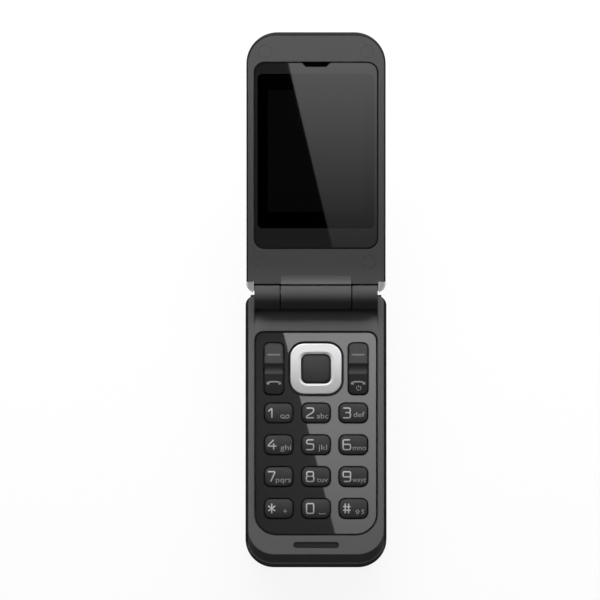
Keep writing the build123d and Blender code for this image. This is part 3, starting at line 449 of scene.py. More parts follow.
lens = {
    "window": (19.3 * mm, 22.97 * mm, 74.3 * mm, 1.7 * mm),  # half width, foot, head, corner
    "lit": (15.9 * mm, 28.45 * mm, 68.9 * mm, 0.3 * mm),
    "windowSoft": 0.06 * mm, "litSoft": 0.04 * mm,
    "border": 0.019, "black": 0.0002, "litTone": 0.0034, "litSpread": (0.8, 1.4),
    "dot": 0.18 * mm, "ior": 1.36, "roughness": 0.01, "haze": 8 * mm, "hazeRough": 0.006,
}


def lensWindow():
    f = newFinish("lensWindow")
    across, along = f.onLid()
    window = inWindow(across, along, lens["window"], lens["windowSoft"])
    lit = inWindow(across, along, lens["lit"], lens["litSoft"])
    dots = across.wave(lens["dot"]) * along.wave(lens["dot"])
    screen = f.mottle(dots, lens["litTone"], lens["litSpread"])
    return f.coat({
        "Base Color": f.tint(window, grey(lens["border"]), f.tint(lit, grey(lens["black"]), screen)),
        "Roughness": lens["roughness"] + f.speckle(lens["haze"], 2.0) * lens["hazeRough"],
        "IOR": lens["ior"],
    })


display = {"border": 0.05, "dots": (0.008, 0.016), "litSoft": 0.1 * mm, "roughness": 0.12, "dotRough": 0.05}


def panelGlass():
    f = newFinish("panelGlass")
    across, along = f.onLid()
    lit = inWindow(across, along, lens["lit"], display["litSoft"])
    dots = across.wave(lens["dot"] / 3) * along.wave(lens["dot"])  # three colours to a dot
    dark, pale = display["dots"]
    return f.coat({
        "Base Color": f.tint(lit, grey(display["border"]), f.tint(dots, grey(dark), grey(pale))),
        "Roughness": display["roughness"] + dots * display["dotRough"],
    })


# Trim

cap = {
    "tone": 0.94, "spread": (0.93, 1.05), "metal": 0.7, "roughness": 0.26,
    "brush": 0.5 * mm, "stretch": (0.15, 1, 1), "brushRough": 0.08, "depth": 0.001 * mm, "strength": 0.2,
}


def capPlating():
    f = newFinish("capPlating")
    brush = f.speckle(cap["brush"], stretch=cap["stretch"])
    return f.coat({
        "Base Color": f.mottle(brush, cap["tone"], cap["spread"]),
        "Metallic": cap["metal"],
        "Roughness": cap["roughness"] + brush * cap["brushRough"],
        "Normal": f.bump(brush, cap["depth"], cap["strength"]),
    })


slot = {
    "microphone": {"tone": 0.009, "specular": 0.5}, "earpiece": {"tone": 0.0012, "specular": 0.03},
    "spread": (0.6, 1.3), "roughness": 0.55,
    "mesh": 0.35 * mm, "meshRough": 0.15, "depth": 0.05 * mm, "strength": 0.6,
}


def slotBlack(name):
    f = newFinish(name + "Black")
    x, y = f.xyz()[:2]
    weave = x.wave(slot["mesh"]) * y.wave(slot["mesh"])
    return f.coat({
        "Base Color": f.mottle(weave, slot[name]["tone"], slot["spread"]),
        "Roughness": slot["roughness"] + weave * slot["meshRough"],
        "Specular IOR Level": slot[name]["specular"],
        "Normal": f.bump(weave, slot["depth"], slot["strength"]),
    })


# Metal and mouldings inside

steel = {
    "tone": (0.56, 0.56, 0.54, 1), "dull": (0.42, 0.42, 0.41, 1), "roughness": 0.3,
    "brush": 0.4 * mm, "stretch": (0.06, 1, 1), "brushShare": 0.6, "brushRough": 0.15,
    "stain": 6 * mm, "stainShare": 0.4, "depth": 0.004 * mm, "strength": 0.4,
}


def plateSteel():
    f = newFinish("plateSteel")
    brush = f.speckle(steel["brush"], 4.0, steel["stretch"])
    stain = f.speckle(steel["stain"])
    worn = brush * steel["brushShare"] + stain * steel["stainShare"]
    return f.coat({
        "Base Color": f.tint(worn, steel["dull"], steel["tone"]),
        "Metallic": 1.0,
        "Roughness": steel["roughness"] + brush * steel["brushRough"],
        "Normal": f.bump(brush, steel["depth"], steel["strength"]),
    })


shaft = {
    "tones": (0.02, 0.05), "oil": 2 * mm, "metal": 0.6, "roughness": 0.4,
    "turned": 0.3 * mm, "stretch": (4, 0.2, 0.2), "turnedRough": 0.18, "depth": 0.003 * mm, "strength": 0.3,
}


def groundSteel():
    f = newFinish("groundSteel")
    turned = f.speckle(shaft["turned"], stretch=shaft["stretch"])
    dark, pale = shaft["tones"]
    return f.coat({
        "Base Color": f.tint(f.speckle(shaft["oil"], 2.0), grey(dark), grey(pale)),
        "Metallic": shaft["metal"],
        "Roughness": shaft["roughness"] + turned * shaft["turnedRough"],
        "Normal": f.bump(turned, shaft["depth"], shaft["strength"]),
    })


screw = {
    "black": (0.03, 0.03, 0.032, 1), "worn": (0.3, 0.3, 0.3, 1), "rim": 0.12 * mm, "rimFrom": (0.4, 0.9),
    "roughness": 0.35, "pits": 0.15 * mm, "pitRough": 0.2,
}


def screwBlack():
    f = newFinish("screwBlack")
    worn = f.rim(screw["rim"]).rise(*screw["rimFrom"])
    return f.coat({
        "Base Color": f.tint(worn, screw["black"], screw["worn"]),
        "Metallic": 1.0,
        "Roughness": screw["roughness"] + f.speckle(screw["pits"]) * screw["pitRough"],
    })


fine = {  # size of the grain, its two colours, metal, roughness and what the grain adds, bump's depth and strength
    "domeSteel": {"grain": 0.2 * mm, "colours": ((0.58, 0.57, 0.54, 1), (0.74, 0.73, 0.7, 1)),
                  "metal": 1.0, "roughness": (0.18, 0.12)},
    "goldFlash": {"grain": 0.5 * mm, "colours": ((0.72, 0.5, 0.18, 1), (0.6, 0.46, 0.26, 1)),
                  "metal": 1.0, "roughness": (0.22, 0.15), "wornFrom": (0.55, 0.75)},
    "weightSinter": {"grain": 0.12 * mm, "colours": ((0.2, 0.2, 0.2, 1), (0.34, 0.34, 0.33, 1)),
                     "metal": 1.0, "roughness": (0.42, 0.2), "bump": (0.01 * mm, 0.5)},
    "magnetPlate": {"grain": 1.2 * mm, "colours": ((0.5, 0.5, 0.48, 1), (0.66, 0.65, 0.62, 1)),
                    "metal": 1.0, "roughness": (0.2, 0.15)},
    "chipMould": {"grain": 0.12 * mm, "colours": (grey(0.014), grey(0.026)),
                  "metal": 0.0, "roughness": (0.5, 0.2), "bump": (0.006 * mm, 0.5)},
    "connectorMould": {"grain": 0.2 * mm, "colours": (grey(0.024), grey(0.038)),
                       "metal": 0.0, "roughness": (0.45, 0.15)},
    "bushMould": {"grain": 0.4 * mm, "colours": ((0.02, 0.02, 0.021, 1), (0.034, 0.034, 0.035, 1)),
                  "metal": 0.0, "roughness": (0.35, 0.15)},
}


def fineGrain(name):
    f = newFinish(name)
    own = fine[name]
    grain = f.speckle(own["grain"])
    mask = grain.rise(*own["wornFrom"]) if "wornFrom" in own else grain
    smooth, added = own["roughness"]
    sockets = {
        "Base Color": f.tint(mask, *own["colours"]),
        "Metallic": own["metal"],
        "Roughness": smooth + grain * added,
    }
    if "bump" in own:
        sockets["Normal"] = f.bump(grain, *own["bump"])
    return f.coat(sockets)


# Electronics

board = {
    "resist": (0.012, 0.085, 0.03, 1), "track": (0.03, 0.16, 0.06, 1), "pad": (0.66, 0.5, 0.2, 1),
    "runs": 0.7 * mm, "cross": 0.8 * mm, "lineFrom": (0.62, 0.75),  # tracks along and across, and their width
    "bend": 7 * mm, "runsBend": 2 * mm, "crossBend": 3 * mm, "field": 5 * mm, "fieldFrom": (0.48, 0.52),
    "pitch": 2.1 * mm, "padFrom": (0.16, 0.2), "padMetal": 0.9, "padRough": 0.08, "roughness": 0.34,
    "depth": 0.03 * mm, "strength": 0.5,
}


def boardResist():
    f = newFinish("boardResist")
    x, y = f.xyz()[:2]
    bend = f.speckle(board["bend"], 1.0)
    runs = (x + bend * board["runsBend"]).wave(board["runs"]).rise(*board["lineFrom"])
    cross = (y + bend * board["crossBend"]).wave(board["cross"]).rise(*board["lineFrom"])
    field = f.speckle(board["field"], 1.0).rise(*board["fieldFrom"])
    tracks = runs * field + cross * (1 - field)
    pads = 1 - f.cells(board["pitch"]).rise(*board["padFrom"])
    tone = f.tint(tracks, board["resist"], board["track"])
    return f.coat({
        "Base Color": f.tint(pads, tone, board["pad"]),
        "Metallic": pads * board["padMetal"],
        "Roughness": board["roughness"] - pads * board["padRough"],
        "Normal": f.bump(tracks + pads, board["depth"], board["strength"]),
    })


speaker = {
    "tones": (0.012, 0.035), "cloth": 0.3 * mm, "depth": 0.03 * mm, "strength": 0.5,
    "roughness": 0.55, "grain": 0.25 * mm, "grainRough": 0.2,
}


def speakerMould():
    f = newFinish("speakerMould")
    cloth = f.cells(speaker["cloth"])
    dark, pale = speaker["tones"]
    return f.coat({
        "Base Color": f.tint(cloth, grey(dark), grey(pale)),
        "Roughness": speaker["roughness"] + f.speckle(speaker["grain"]) * speaker["grainRough"],
        "Normal": f.bump(cloth, speaker["depth"], speaker["strength"]),
    })


ribbon = {
    "film": ((0.02, 0.018, 0.015, 1), (0.03, 0.026, 0.021, 1)), "track": (0.06, 0.042, 0.026, 1),
    "pitch": 0.3 * mm, "trackFrom": (0.45, 0.6), "trackShare": 0.7, "depth": 0.01 * mm, "strength": 0.4,
    "cloud": 3 * mm, "roughness": 0.3, "cloudRough": 0.15,
}


def ribbonFilm():
    f = newFinish("ribbonFilm")
    tracks = f.xyz()[0].wave(ribbon["pitch"]).rise(*ribbon["trackFrom"])
    cloud = f.speckle(ribbon["cloud"], 2.0)
    film = f.tint(cloud, *ribbon["film"])
    return f.coat({
        "Base Color": f.tint(tracks * ribbon["trackShare"], film, ribbon["track"]),
        "Roughness": ribbon["roughness"] + cloud * ribbon["cloudRough"],
        "Normal": f.bump(tracks, ribbon["depth"], ribbon["strength"]),
    })


battery = {
    "wrap": (0.055, 0.06, 0.07, 1), "can": (0.5, 0.5, 0.5, 1), "band": (0.32, 0.33, 0.34, 1), "canMetal": 0.9,
    "bareEnd": (3.2 * mm, 3.0 * mm), "frameIn": (4 * mm, 6 * mm), "frameLine": (0.12 * mm, 0.18 * mm),
    "crease": 5 * mm, "stretch": (1, 0.4, 1), "roughness": 0.3, "creaseRough": 0.15,
    "depth": 0.04 * mm, "strength": 0.4,
}


def batteryWrap():
    f = newFinish("batteryWrap")
    x, y = f.xyz()[:2]
    low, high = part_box("battery")
    middle, half = (low + high) / 2, (high - low) / 2
    across, along = abs(x - middle.x), abs(y - middle.y)
    wrapped = 1 - along.rise(*(half.y - end for end in battery["bareEnd"]))
    frameX, frameY = battery["frameIn"]
    inside = (along - (half.y - frameY)).most(across - (half.x - frameX))
    line = 1 - abs(inside).rise(*battery["frameLine"])
    crease = f.speckle(battery["crease"], stretch=battery["stretch"])
    tone = f.tint(line, battery["wrap"], battery["band"])
    return f.coat({
        "Base Color": f.tint(wrapped, battery["can"], tone),
        "Metallic": (1 - wrapped) * battery["canMetal"],
        "Roughness": battery["roughness"] + crease * battery["creaseRough"],
        "Normal": f.bump(crease, battery["depth"], battery["strength"]),
    })


# Every CAD node takes the finish of its slot, or one of its own

finishes = {
    "shell": rearPlastic(), "faceplate": panelPolish(), "keys": keyGloss("keyGloss", keyCap["tone"]),
    "ring": ringSilver(), "mat": softRubber(), "lens": lensWindow(), "display": panelGlass(),
    "caps": capPlating(), "insert": slotBlack("microphone"), "sheet_steel": plateSteel(), "port": plateSteel(),
    "shaft": groundSteel(), "spring": groundSteel(), "screws": screwBlack(), "domes": fineGrain("domeSteel"),
    "contacts": fineGrain("goldFlash"), "weight": fineGrain("weightSinter"), "magnet": fineGrain("magnetPlate"),
    "board": boardResist(), "chip": fineGrain("chipMould"), "connector": fineGrain("connectorMould"),
    "speaker": speakerMould(), "bush": fineGrain("bushMould"), "ribbon": ribbonFilm(), "battery": batteryWrap(),
}
ownFinishes = {
    "base_front_case": shellPlastic("base"), "lid_front_case": shellPlastic("lid"),
    "left_rocker_key": rockerGloss(), "select_key": keyGloss("selectGloss", keyCap["selectTone"]),
    "earpiece_mesh": slotBlack("earpiece"), "hinge_can": finishes["shaft"],
}
ownFinishes["right_rocker_key"] = ownFinishes["left_rocker_key"]
ownFinishes["lid_screw_plugs"] = ownFinishes["lid_front_case"]
for nodeName, node in nodes.items():
    node.data.materials.clear()
    node.data.materials.append(ownFinishes.get(nodeName, finishes[slotOf[nodeName]]))
print("finishes:", len(finishes), "slots over", len(nodes), "nodes")


# Legends printed on the keys

legend = {
    "digit": (2.45 * mm, 3.25 * mm), "stroke": 0.4 * mm, "corner": 0.24,
    "letterHeight": 2.5 * mm, "letterCut": 0.3 * mm, "fine": 0.24 * mm, "fineCorner": 0.35 * mm,
    "longest": 0.4 * mm, "bendSteps": 5, "dropFrom": 5 * mm, "lift": 0.012 * mm, "thick": 0.03 * mm,
    "ink": 0.4, "fineInk": 0.28, "spread": (0.88, 1.1), "roughness": 0.42, "grain": 0.15 * mm, "grainRough": 0.2,
    "slot": "ring",
}

# each stroke runs in a box 1 wide and 1 tall; True closes it into a loop
digitStrokes = {
    "1": [([(0.05, 0.66), (0.52, 1), (0.52, 0)], False)],
    "2": [([(0.04, 1), (0.97, 1), (0.97, 0.6), (0.02, 0.16), (0.02, 0), (1, 0)], False)],
    "3": [([(0.04, 1), (0.96, 1), (0.96, 0.53), (0.3, 0.53)], False),
          ([(0.3, 0.53), (0.98, 0.53), (0.98, 0), (0, 0)], False)],
    "4": [([(0.76, 1), (-0.08, 0.36), (1.12, 0.36)], False), ([(0.76, 0.62), (0.76, 0)], False)],
    "5": [([(0.95, 1), (0.05, 1), (0.05, 0.58), (0.97, 0.58), (0.97, 0), (0, 0)], False)],
    "6": [([(0.92, 1), (0, 1), (0, 0), (1, 0), (1, 0.54), (0, 0.54)], False)],
    "7": [([(0, 1), (0.98, 1), (0.36, 0)], False)],
    "8": [([(0.05, 0.53), (0.05, 1), (0.95, 1), (0.95, 0.53)], True),
          ([(0, 0.53), (0, 0), (1, 0), (1, 0.53)], True)],
    "9": [([(1, 0.47), (0, 0.47), (0, 1), (1, 1), (1, 0), (0.12, 0)], False)],
    "0": [([(0.02, 0), (0.02, 1), (0.98, 1), (0.98, 0)], True)],
    "star": [([(0.5, 1), (0.5, 0)], False), ([(0.02, 0.76), (0.98, 0.24)], False),
             ([(0.02, 0.24), (0.98, 0.76)], False)],
    "hash": [([(0.28, 0), (0.28, 1)], False), ([(0.74, 0), (0.74, 1)], False),
             ([(0, 0.32), (1, 0.32)], False), ([(0, 0.68), (1, 0.68)], False)],
}
columns = {"147star": -2.3 * mm, "2580": -1.95 * mm, "369hash": -2.15 * mm}  # middle of the digits, by column
keyLetters = {  # middle, foot and width in mm
    "2": ("abc", 2.15, -1.85, 3.8), "3": ("def", 1.9, -1.4, 3.6), "4": ("ghi", 2.3, -1.75, 3.5),
    "5": ("jkl", 2.2, -1.75, 2.9), "6": ("mno", 2.0, -1.85, 4.4), "7": ("pqrs", 1.55, -1.85, 5.0),
    "8": ("tuv", 2.1, -1.85, 3.6), "9": ("wxyz", 1.95, -1.85, 4.5),
}

# small marks: place of the left foot and size in mm, then their strokes
smallMarks = {
    "1": [((0.7, -1.75, 2.7, 1.05), [([(0, 0.1), (0, 1), (0.38, 1), (0.38, 0.1)], True),
                                   ([(0.62, 0.1), (0.62, 1), (1, 1), (1, 0.1)], True),
                                   ([(0.2, 0), (0.8, 0)], False)])],
    "star": [((1.5, -1.5, 1.2, 1.2), [([(0.5, 0), (0.5, 1)], False), ([(0, 0.5), (1, 0.5)], False)])],
    "0": [((1.05, -1.8, 2.0, 0.35), [([(0, 1), (0, 0), (1, 0), (1, 1)], False)])],
    "hash": [((0.75, -1.8, 1.3, 1.4), [([(0.5, 1), (1, 0.5), (0.72, 0.5), (0.72, 0), (0.28, 0), (0.28, 0.5),
                                        (0, 0.5)], True)]),
             ((2.55, -1.8, 1.1, 1.4), [([(0.9, 1), (0.1, 0.8), (0.9, 0.3), (0.1, 0)], False)])],
}


def legendInk(name, tone):
    f = newFinish(name)
    grain = f.speckle(legend["grain"])
    return f.coat({
        "Base Color": f.mottle(grain, tone, legend["spread"]),
        "Roughness": legend["roughness"] + grain * legend["grainRough"],
    })


def smoothCorners(corners, radius, closed):
    path = []
    for i, corner in enumerate(corners):
        here = Vector(corner)
        if not closed and i in (0, len(corners) - 1):
            path.append(here)
            continue
        back = Vector(corners[i - 1]) - here
        ahead = Vector(corners[(i + 1) % len(corners)]) - here
        cut = min(radius, back.length * 0.48, ahead.length * 0.48)  # so that two bends never meet
        first = here + back.normalized() * cut
        last = here + ahead.normalized() * cut
        for step in range(legend["bendSteps"] + 1):
            t = step / legend["bendSteps"]
            path.append(first * (1 - t) ** 2 + here * (2 * t * (1 - t)) + last * t ** 2)
    return path


def divided(path, closed, longest):
    ends = path[1:] + path[:1] if closed else path[1:]
    short = []
    for start, end in zip(path, ends):
        pieces = max(1, math.ceil((end - start).length / longest))
        short += [start.lerp(end, i / pieces) for i in range(pieces)]
    return short if closed else short + [path[-1]]


def addStroke(marks, corners, closed, width, radius):
    path = divided(smoothCorners(corners, radius, closed), closed, legend["longest"])
    rails = []
    for i, here in enumerate(path):
        back = here - path[i - 1] if closed or i else path[1] - here
        ahead = path[(i + 1) % len(path)] - here if closed or i < len(path) - 1 else back
        along = (back.normalized() + ahead.normalized()).normalized()
        side = Vector((-along.y, along.x))
        lean = max(0.5, along.dot(ahead.normalized()))  # keeps sharp corners from running out
        rails.append([marks.verts.new((*(here + side * (sign * width / 2 / lean)), 0)) for sign in (1, -1)])
    for i in range(len(rails) if closed else len(rails) - 1):
        (left, right), (nextLeft, nextRight) = rails[i], rails[(i + 1) % len(rails)]
        marks.faces.new((left, right, nextRight, nextLeft))


def addLetters(marks, word, height, centre, foot, width):
    text = bpy.data.curves.new("letters", "FONT")
    text.body = word
    text.size = height
    text.resolution_u = 3
    holder = bpy.data.objects.new("letters", text)
    bpy.context.scene.collection.objects.link(holder)
    flat = bpy.data.meshes.new_from_object(holder)
    across = [vert.co.x for vert in flat.vertices]
    middle = (min(across) + max(across)) / 2
    squeeze = width / (max(across) - min(across))
    start = len(marks.verts)
    marks.from_mesh(flat)
    marks.verts.ensure_lookup_table()
    for vert in marks.verts[start:]:
        vert.co = ((vert.co.x - middle) * squeeze + centre, vert.co.y + foot, 0)
    for line in range(-3, 8):  # cut across, so that the letters bend with the key's crown
        bmesh.ops.bisect_plane(marks, geom=marks.verts[:] + marks.edges[:] + marks.faces[:],
                               plane_co=(0, foot + line * legend["letterCut"], 0), plane_no=(0, 1, 0))
    bpy.data.objects.remove(holder)
    bpy.data.curves.remove(text)
    bpy.data.meshes.remove(flat)


def pieceOf(built, name, finish):
    mesh = bpy.data.meshes.new(name)
    built.to_mesh(mesh)
    built.free()
    mesh.materials.append(finish)
    piece = bpy.data.objects.new(name, mesh)
    bpy.context.scene.collection.objects.link(piece)
    return piece


def finishPrint(marks, name, body, ink):
    marks.normal_update()
    for face in marks.faces:
        if face.normal.z < 0:
            face.normal_flip()
    piece = pieceOf(marks, name, ink)
    thick = piece.modifiers.new("thick", "SOLIDIFY")
    thick.thickness = legend["thick"]
    thick.offset = -1
    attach(piece, body)


def layOn(marks, name, key, ink):  # drops the marks on a key that is its own body
    low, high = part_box(key)
    middle = (low + high) / 2
    for vert in marks.verts:
        above = Vector((middle.x + vert.co.x, middle.y + vert.co.y, high.z + legend["dropFrom"]))
        spot = nodes[key].ray_cast(above, Vector((0, 0, -1)))[1]
        vert.co = spot + Vector((0, 0, legend["lift"]))
    finishPrint(marks, name, key, ink)


def boxed(corners, left, foot, width, height):
    return [(left + x * width, foot + y * height) for x, y in corners]


def printKeys():
    ink = legendInk("legendInk", legend["ink"])
    fineInk = legendInk("fineInk", legend["fineInk"])
    wide, tall = legend["digit"]
    for digit, strokes in digitStrokes.items():
        digitAt = next(middle for column, middle in columns.items() if digit in column)
        marks = bmesh.new()
        for corners, closed in strokes:
            path = boxed(corners, digitAt - wide / 2, -tall / 2, wide, tall)
            addStroke(marks, path, closed, legend["stroke"], legend["corner"] * wide)
        layOn(marks, "digit_" + digit, "key_" + digit, ink)
        marks = bmesh.new()
        if digit in keyLetters:
            word, centre, foot, width = keyLetters[digit]
            addLetters(marks, word, legend["letterHeight"], centre * mm, foot * mm, width * mm)
        for place, fineStrokes in smallMarks.get(digit, []):
            for corners, closed in fineStrokes:
                path = boxed(corners, *(size * mm for size in place))
                addStroke(marks, path, closed, legend["fine"], legend["fineCorner"])
        layOn(marks, "letters_" + digit, "key_" + digit, fineInk)


printKeys()
print("legends: twelve keys")


rocker = {
    "dash": (4.2 * mm, 0.5 * mm), "dashAt": 4.65 * mm, "dashInk": 0.165, "ink": 0.26,
    "handset": [(-2.0, -0.5), (-1.85, 0.25), (-1.0, 0.42), (1.0, 0.42), (1.85, 0.25), (2.0, -0.5)],
    "handsetAt": -4.75 * mm, "handle": 0.42 * mm, "handleCorner": 0.5 * mm, "pad": 0.9 * mm,
    "power": 0.74 * mm, "powerAt": (0.2 * mm, -6.4 * mm), "powerStroke": 0.2 * mm,
    "powerTurn": range(40, 321, 20), "powerBar": (0.2, 1.25),  # open ring in degrees, bar in radii
}


def printRockers():
    ink = legendInk("rockerInk", rocker["ink"])
    dashInk = legendInk("dashInk", rocker["dashInk"])
    length, thick = rocker["dash"]
    for side in ("left", "right"):
        key = side + "_rocker_key"
        marks = bmesh.new()
        dash = [(-length / 2, rocker["dashAt"]), (length / 2, rocker["dashAt"])]
        addStroke(marks, dash, False, thick, 0)
        layOn(marks, "dash_" + side, key, dashInk)
        marks = bmesh.new()
        arch = [(x * mm, y * mm + rocker["handsetAt"]) for x, y in rocker["handset"]]
        addStroke(marks, arch, False, rocker["handle"], rocker["handleCorner"])
        for end in (arch[:2], arch[-2:]):
            addStroke(marks, end, False, rocker["pad"], 0)
        if side == "right":
            x, y = rocker["powerAt"]
            turns = [math.radians(angle) for angle in rocker["powerTurn"]]
            loop = [(x + rocker["power"] * math.sin(turn), y + rocker["power"] * math.cos(turn)) for turn in turns]
            bar = [(x, y + rocker["power"] * end) for end in rocker["powerBar"]]
            for path in (loop, bar):
                addStroke(marks, path, False, rocker["powerStroke"], 0)
        layOn(marks, "marks_" + side, key, ink)


printRockers()
print("legends: two rockers")


# Pale line round the chin, a painted highlight on its lower edge

# a painted highlight: a pale strip along the chin's lower edge, narrowing at its ends
chinHighlight = {
    "level": 6.75 * mm, "reach": 10 * mm, "width": 0.36 * mm, "lift": 0.015 * mm, "tone": 0.3,
    "fade": 5 * mm, "least": 0.05,  # narrows to this share at its ends
}


def outerWall(node, level):  # spots and outward directions round a node's outer wall, at one height
    cut = bmesh.new()
    cut.from_mesh(node.data)
    bmesh.ops.remove_doubles(cut, verts=cut.verts[:], dist=0.001 * mm)
    made = bmesh.ops.bisect_plane(cut, geom=cut.verts[:] + cut.edges[:] + cut.faces[:],
                                  plane_co=(0, 0, level), plane_no=(0, 0, 1))["geom_cut"]
    edges = {item for item in made if isinstance(item, bmesh.types.BMEdge)}
    loop = [min((vert for edge in edges for vert in edge.verts), key=lambda vert: vert.co.y)]
    for vert in loop:
        for edge in vert.link_edges:
            if edge in edges and edge.other_vert(vert) not in loop:
                loop.append(edge.other_vert(vert))
    cut.normal_update()
    wall = []
    for vert in loop:
        out = sum((face.normal for face in vert.link_faces), Vector()).normalized()
        wall.append((vert.co.copy(), out))
    cut.free()
    return wall


def chinHighlightLine():
    pivot = Vector((0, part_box("base_front_case")[0].y + chinHighlight["reach"], 0))
    wall = [(spot, out) for spot, out in outerWall(nodes["base_front_case"], chinHighlight["level"]) if spot.y < pivot.y]
    wall.sort(key=lambda item: math.atan2(item[0].x, pivot.y - item[0].y))
    strip = bmesh.new()
    rails = []
    for i, (spot, out) in enumerate(wall):
        along = (wall[min(i + 1, len(wall) - 1)][0] - wall[max(i - 1, 0)][0]).normalized()
        up = out.cross(along).normalized()
        half = chinHighlight["width"] / 2 * min(1, max(chinHighlight["least"], (pivot.y - spot.y) / chinHighlight["fade"]))
        rails.append([strip.verts.new(spot + out * chinHighlight["lift"] + up * side) for side in (-half, half)])
    for (foot, head), (nextFoot, nextHead) in zip(rails, rails[1:]):
        strip.faces.new((foot, nextFoot, nextHead, head))
    finishPrint(strip, "chin_line", "base", legendInk("chinHighlightInk", chinHighlight["tone"]))


chinHighlightLine()
print("chin: highlight line")


# Friction washers in the two gaps of the hinge barrel, near-black so that they stand in for the shade in the gaps

washer = {
    "left": (-11.81 * mm, 1.4 * mm, 3.6 * mm), "right": (11.81 * mm, 2.75 * mm, 3.6 * mm),  # place, bore, outside
    "thick": 0.36 * mm, "chamfer": 0.05 * mm, "sides": 64, "slot": "insert",
    # near-black tone: painted shade in the hinge gaps
    "tone": 0.0015, "spread": (0.7, 1.5), "specular": 0.05, "roughness": 0.85,
    "fibre": 0.1 * mm, "fibreRough": 0.1, "depth": 0.01 * mm, "strength": 0.5,
}


def gapShadeWasher():
    f = newFinish("gapShadeWasher")
    fibre = f.speckle(washer["fibre"])
    return f.coat({
        "Base Color": f.mottle(fibre, washer["tone"], washer["spread"]),
        "Roughness": washer["roughness"] + fibre * washer["fibreRough"],
        "Specular IOR Level": washer["specular"],
        "Normal": f.bump(fibre, washer["depth"], washer["strength"]),
    })


def turnWasher(side, gapShadeFinish):
    along, bore, outer = washer[side]
    half, cut = washer["thick"] / 2, washer["chamfer"]
    profile = [(bore, -half), (outer - cut, -half), (outer, cut - half), (outer, half - cut), (outer - cut, half),
               (bore, half)]
    turned = bmesh.new()
    rows = []
    for step in range(washer["sides"]):
        angle = 2 * math.pi * step / washer["sides"]
        out = Vector((0, math.cos(angle), math.sin(angle)))
        rows.append([turned.verts.new(hinge + out * radius + Vector((along + x, 0, 0))) for radius, x in profile])
    for row, nextRow in zip(rows, rows[1:] + rows[:1]):
        for i in range(len(profile)):
            k = (i + 1) % len(profile)
            turned.faces.new((row[i], row[k], nextRow[k], nextRow[i]))
    bmesh.ops.recalc_face_normals(turned, faces=turned.faces[:])
    piece = pieceOf(turned, "hinge_washer_" + side, gapShadeFinish)
    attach(piece, "base")


gapShadeFinish = gapShadeWasher()
for side in ("left", "right"):
    turnWasher(side, gapShadeFinish)
print("hinge: two washers")


# Studio

card = {"height": 0.5, "lensDrop": 0.35 * mm}
glare = {  # the glare's edge, rows and far side in pixels, brightness at its head and foot
    "lid": {"edge": ((288.5, 64.0), (328.0, 228.5)), "rows": (44.0, 268.0), "far": 420.0,
            "bright": (4.5, 0.4), "curve": 1.4},
    "base": {"edge": ((283.5, 333.2), (335.1, 533.3)), "rows": (318.0, 552.0), "far": 420.0,
             "bright": (9.6, 4.0), "curve": 1.0},
}
sideCard = {"wide": 130, "flagTone": 0.03}
sideGlare = [  # from where (azimuth, elevation), on what, the glare's edge across and along from the hinge in mm
    {"from": (45, 25), "on": "lid", "edge": ((2, 78), (14, 14)), "bright": (1.9, 0.6)},
    {"from": (45, 25), "on": "base", "edge": ((-9, -6), (8, -84)), "bright": (2.6, 1.5)},
    {"from": (0, 3), "on": "lid", "edge": ((-6, 78), (8, 14)), "bright": (0.8, 0.25)},
]
glass = {  # a spot on each glossy face, along it, out of it
    "lid": (hinge - lidOut * card["lensDrop"], lidUp, lidOut),
    "base": (Vector((0, hinge.y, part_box("keypad_faceplate")[1].z)), baseUp, baseOut),
}


def mirrored(pixel, through, out, height):  # where the sight line through a pixel goes after the glass
    sight = (viewTarget + fromCentre(pixel) - viewEye).normalized()
    hit = viewEye + sight * ((through - viewEye).dot(out) / sight.dot(out))
    bounced = sight - out * (2 * sight.dot(out))
    return hit + bounced * (height / bounced.dot(out))


def stageSheet(name, corners, material):
    mesh = bpy.data.meshes.new(name)
    mesh.from_pydata([tuple(corner) for corner in corners], [], [tuple(range(len(corners)))])
    mesh.materials.append(material)
    sheet = bpy.data.objects.new(name, mesh)
    bpy.context.scene.collection.objects.link(sheet)
    return sheet


def glossSheet(name, corners, material):  # seen by the gloss alone
    sheet = stageSheet(name, corners, material)
    sheet.visible_camera = False
    sheet.visible_diffuse = False
    sheet.visible_transmission = False
    sheet.visible_volume_scatter = False
    sheet.visible_shadow = False


def level(halfX, foot, head, height):
    return [(-halfX, foot, height), (halfX, foot, height), (halfX, head, height), (-halfX, head, height)]


def cardLight(name, corners, bright, curve):
    f = newFinish(name)
    top, bottom = bright
    ends = sorted(corner.y for corner in corners)
    fall = f.node("ShaderNodeMapRange", {}, {"Value": f.xyz()[1], 1: ends[0], 2: ends[-1]})
    return f.glow(f.tint(fall ** curve, grey(bottom / top), grey(1.0)), top)


def hangCards():
    for name, own in glare.items():
        (topX, topY), (footX, footY) = own["edge"]
        slant = (footX - topX) / (footY - topY)
        first, last = own["rows"]
        pixels = [(topX + (first - topY) * slant, first), (topX + (last - topY) * slant, last),
                  (own["far"], last), (own["far"], first)]
        through, out = glass[name][::2]
        corners = [mirrored(pixel, through, out, card["height"]) for pixel in pixels]
        glossSheet("card_" + name, corners, cardLight("cardLight_" + name, corners, own["bright"], own["curve"]))


def sideCorners(own, spots, height):  # spots of a glossy face, thrown on along the sight line from one side
    turn, tall = (math.radians(angle) for angle in own["from"])
    sight = Vector((-math.sin(turn) * math.cos(tall), math.cos(turn) * math.cos(tall), -math.sin(tall)))
    origin, along, out = glass[own["on"]]
    bounced = sight - out * (2 * sight.dot(out))
    step = bounced * (height / bounced.dot(out))
    return [origin + Vector((x * mm, 0, 0)) + along * (y * mm) + step for x, y in spots]


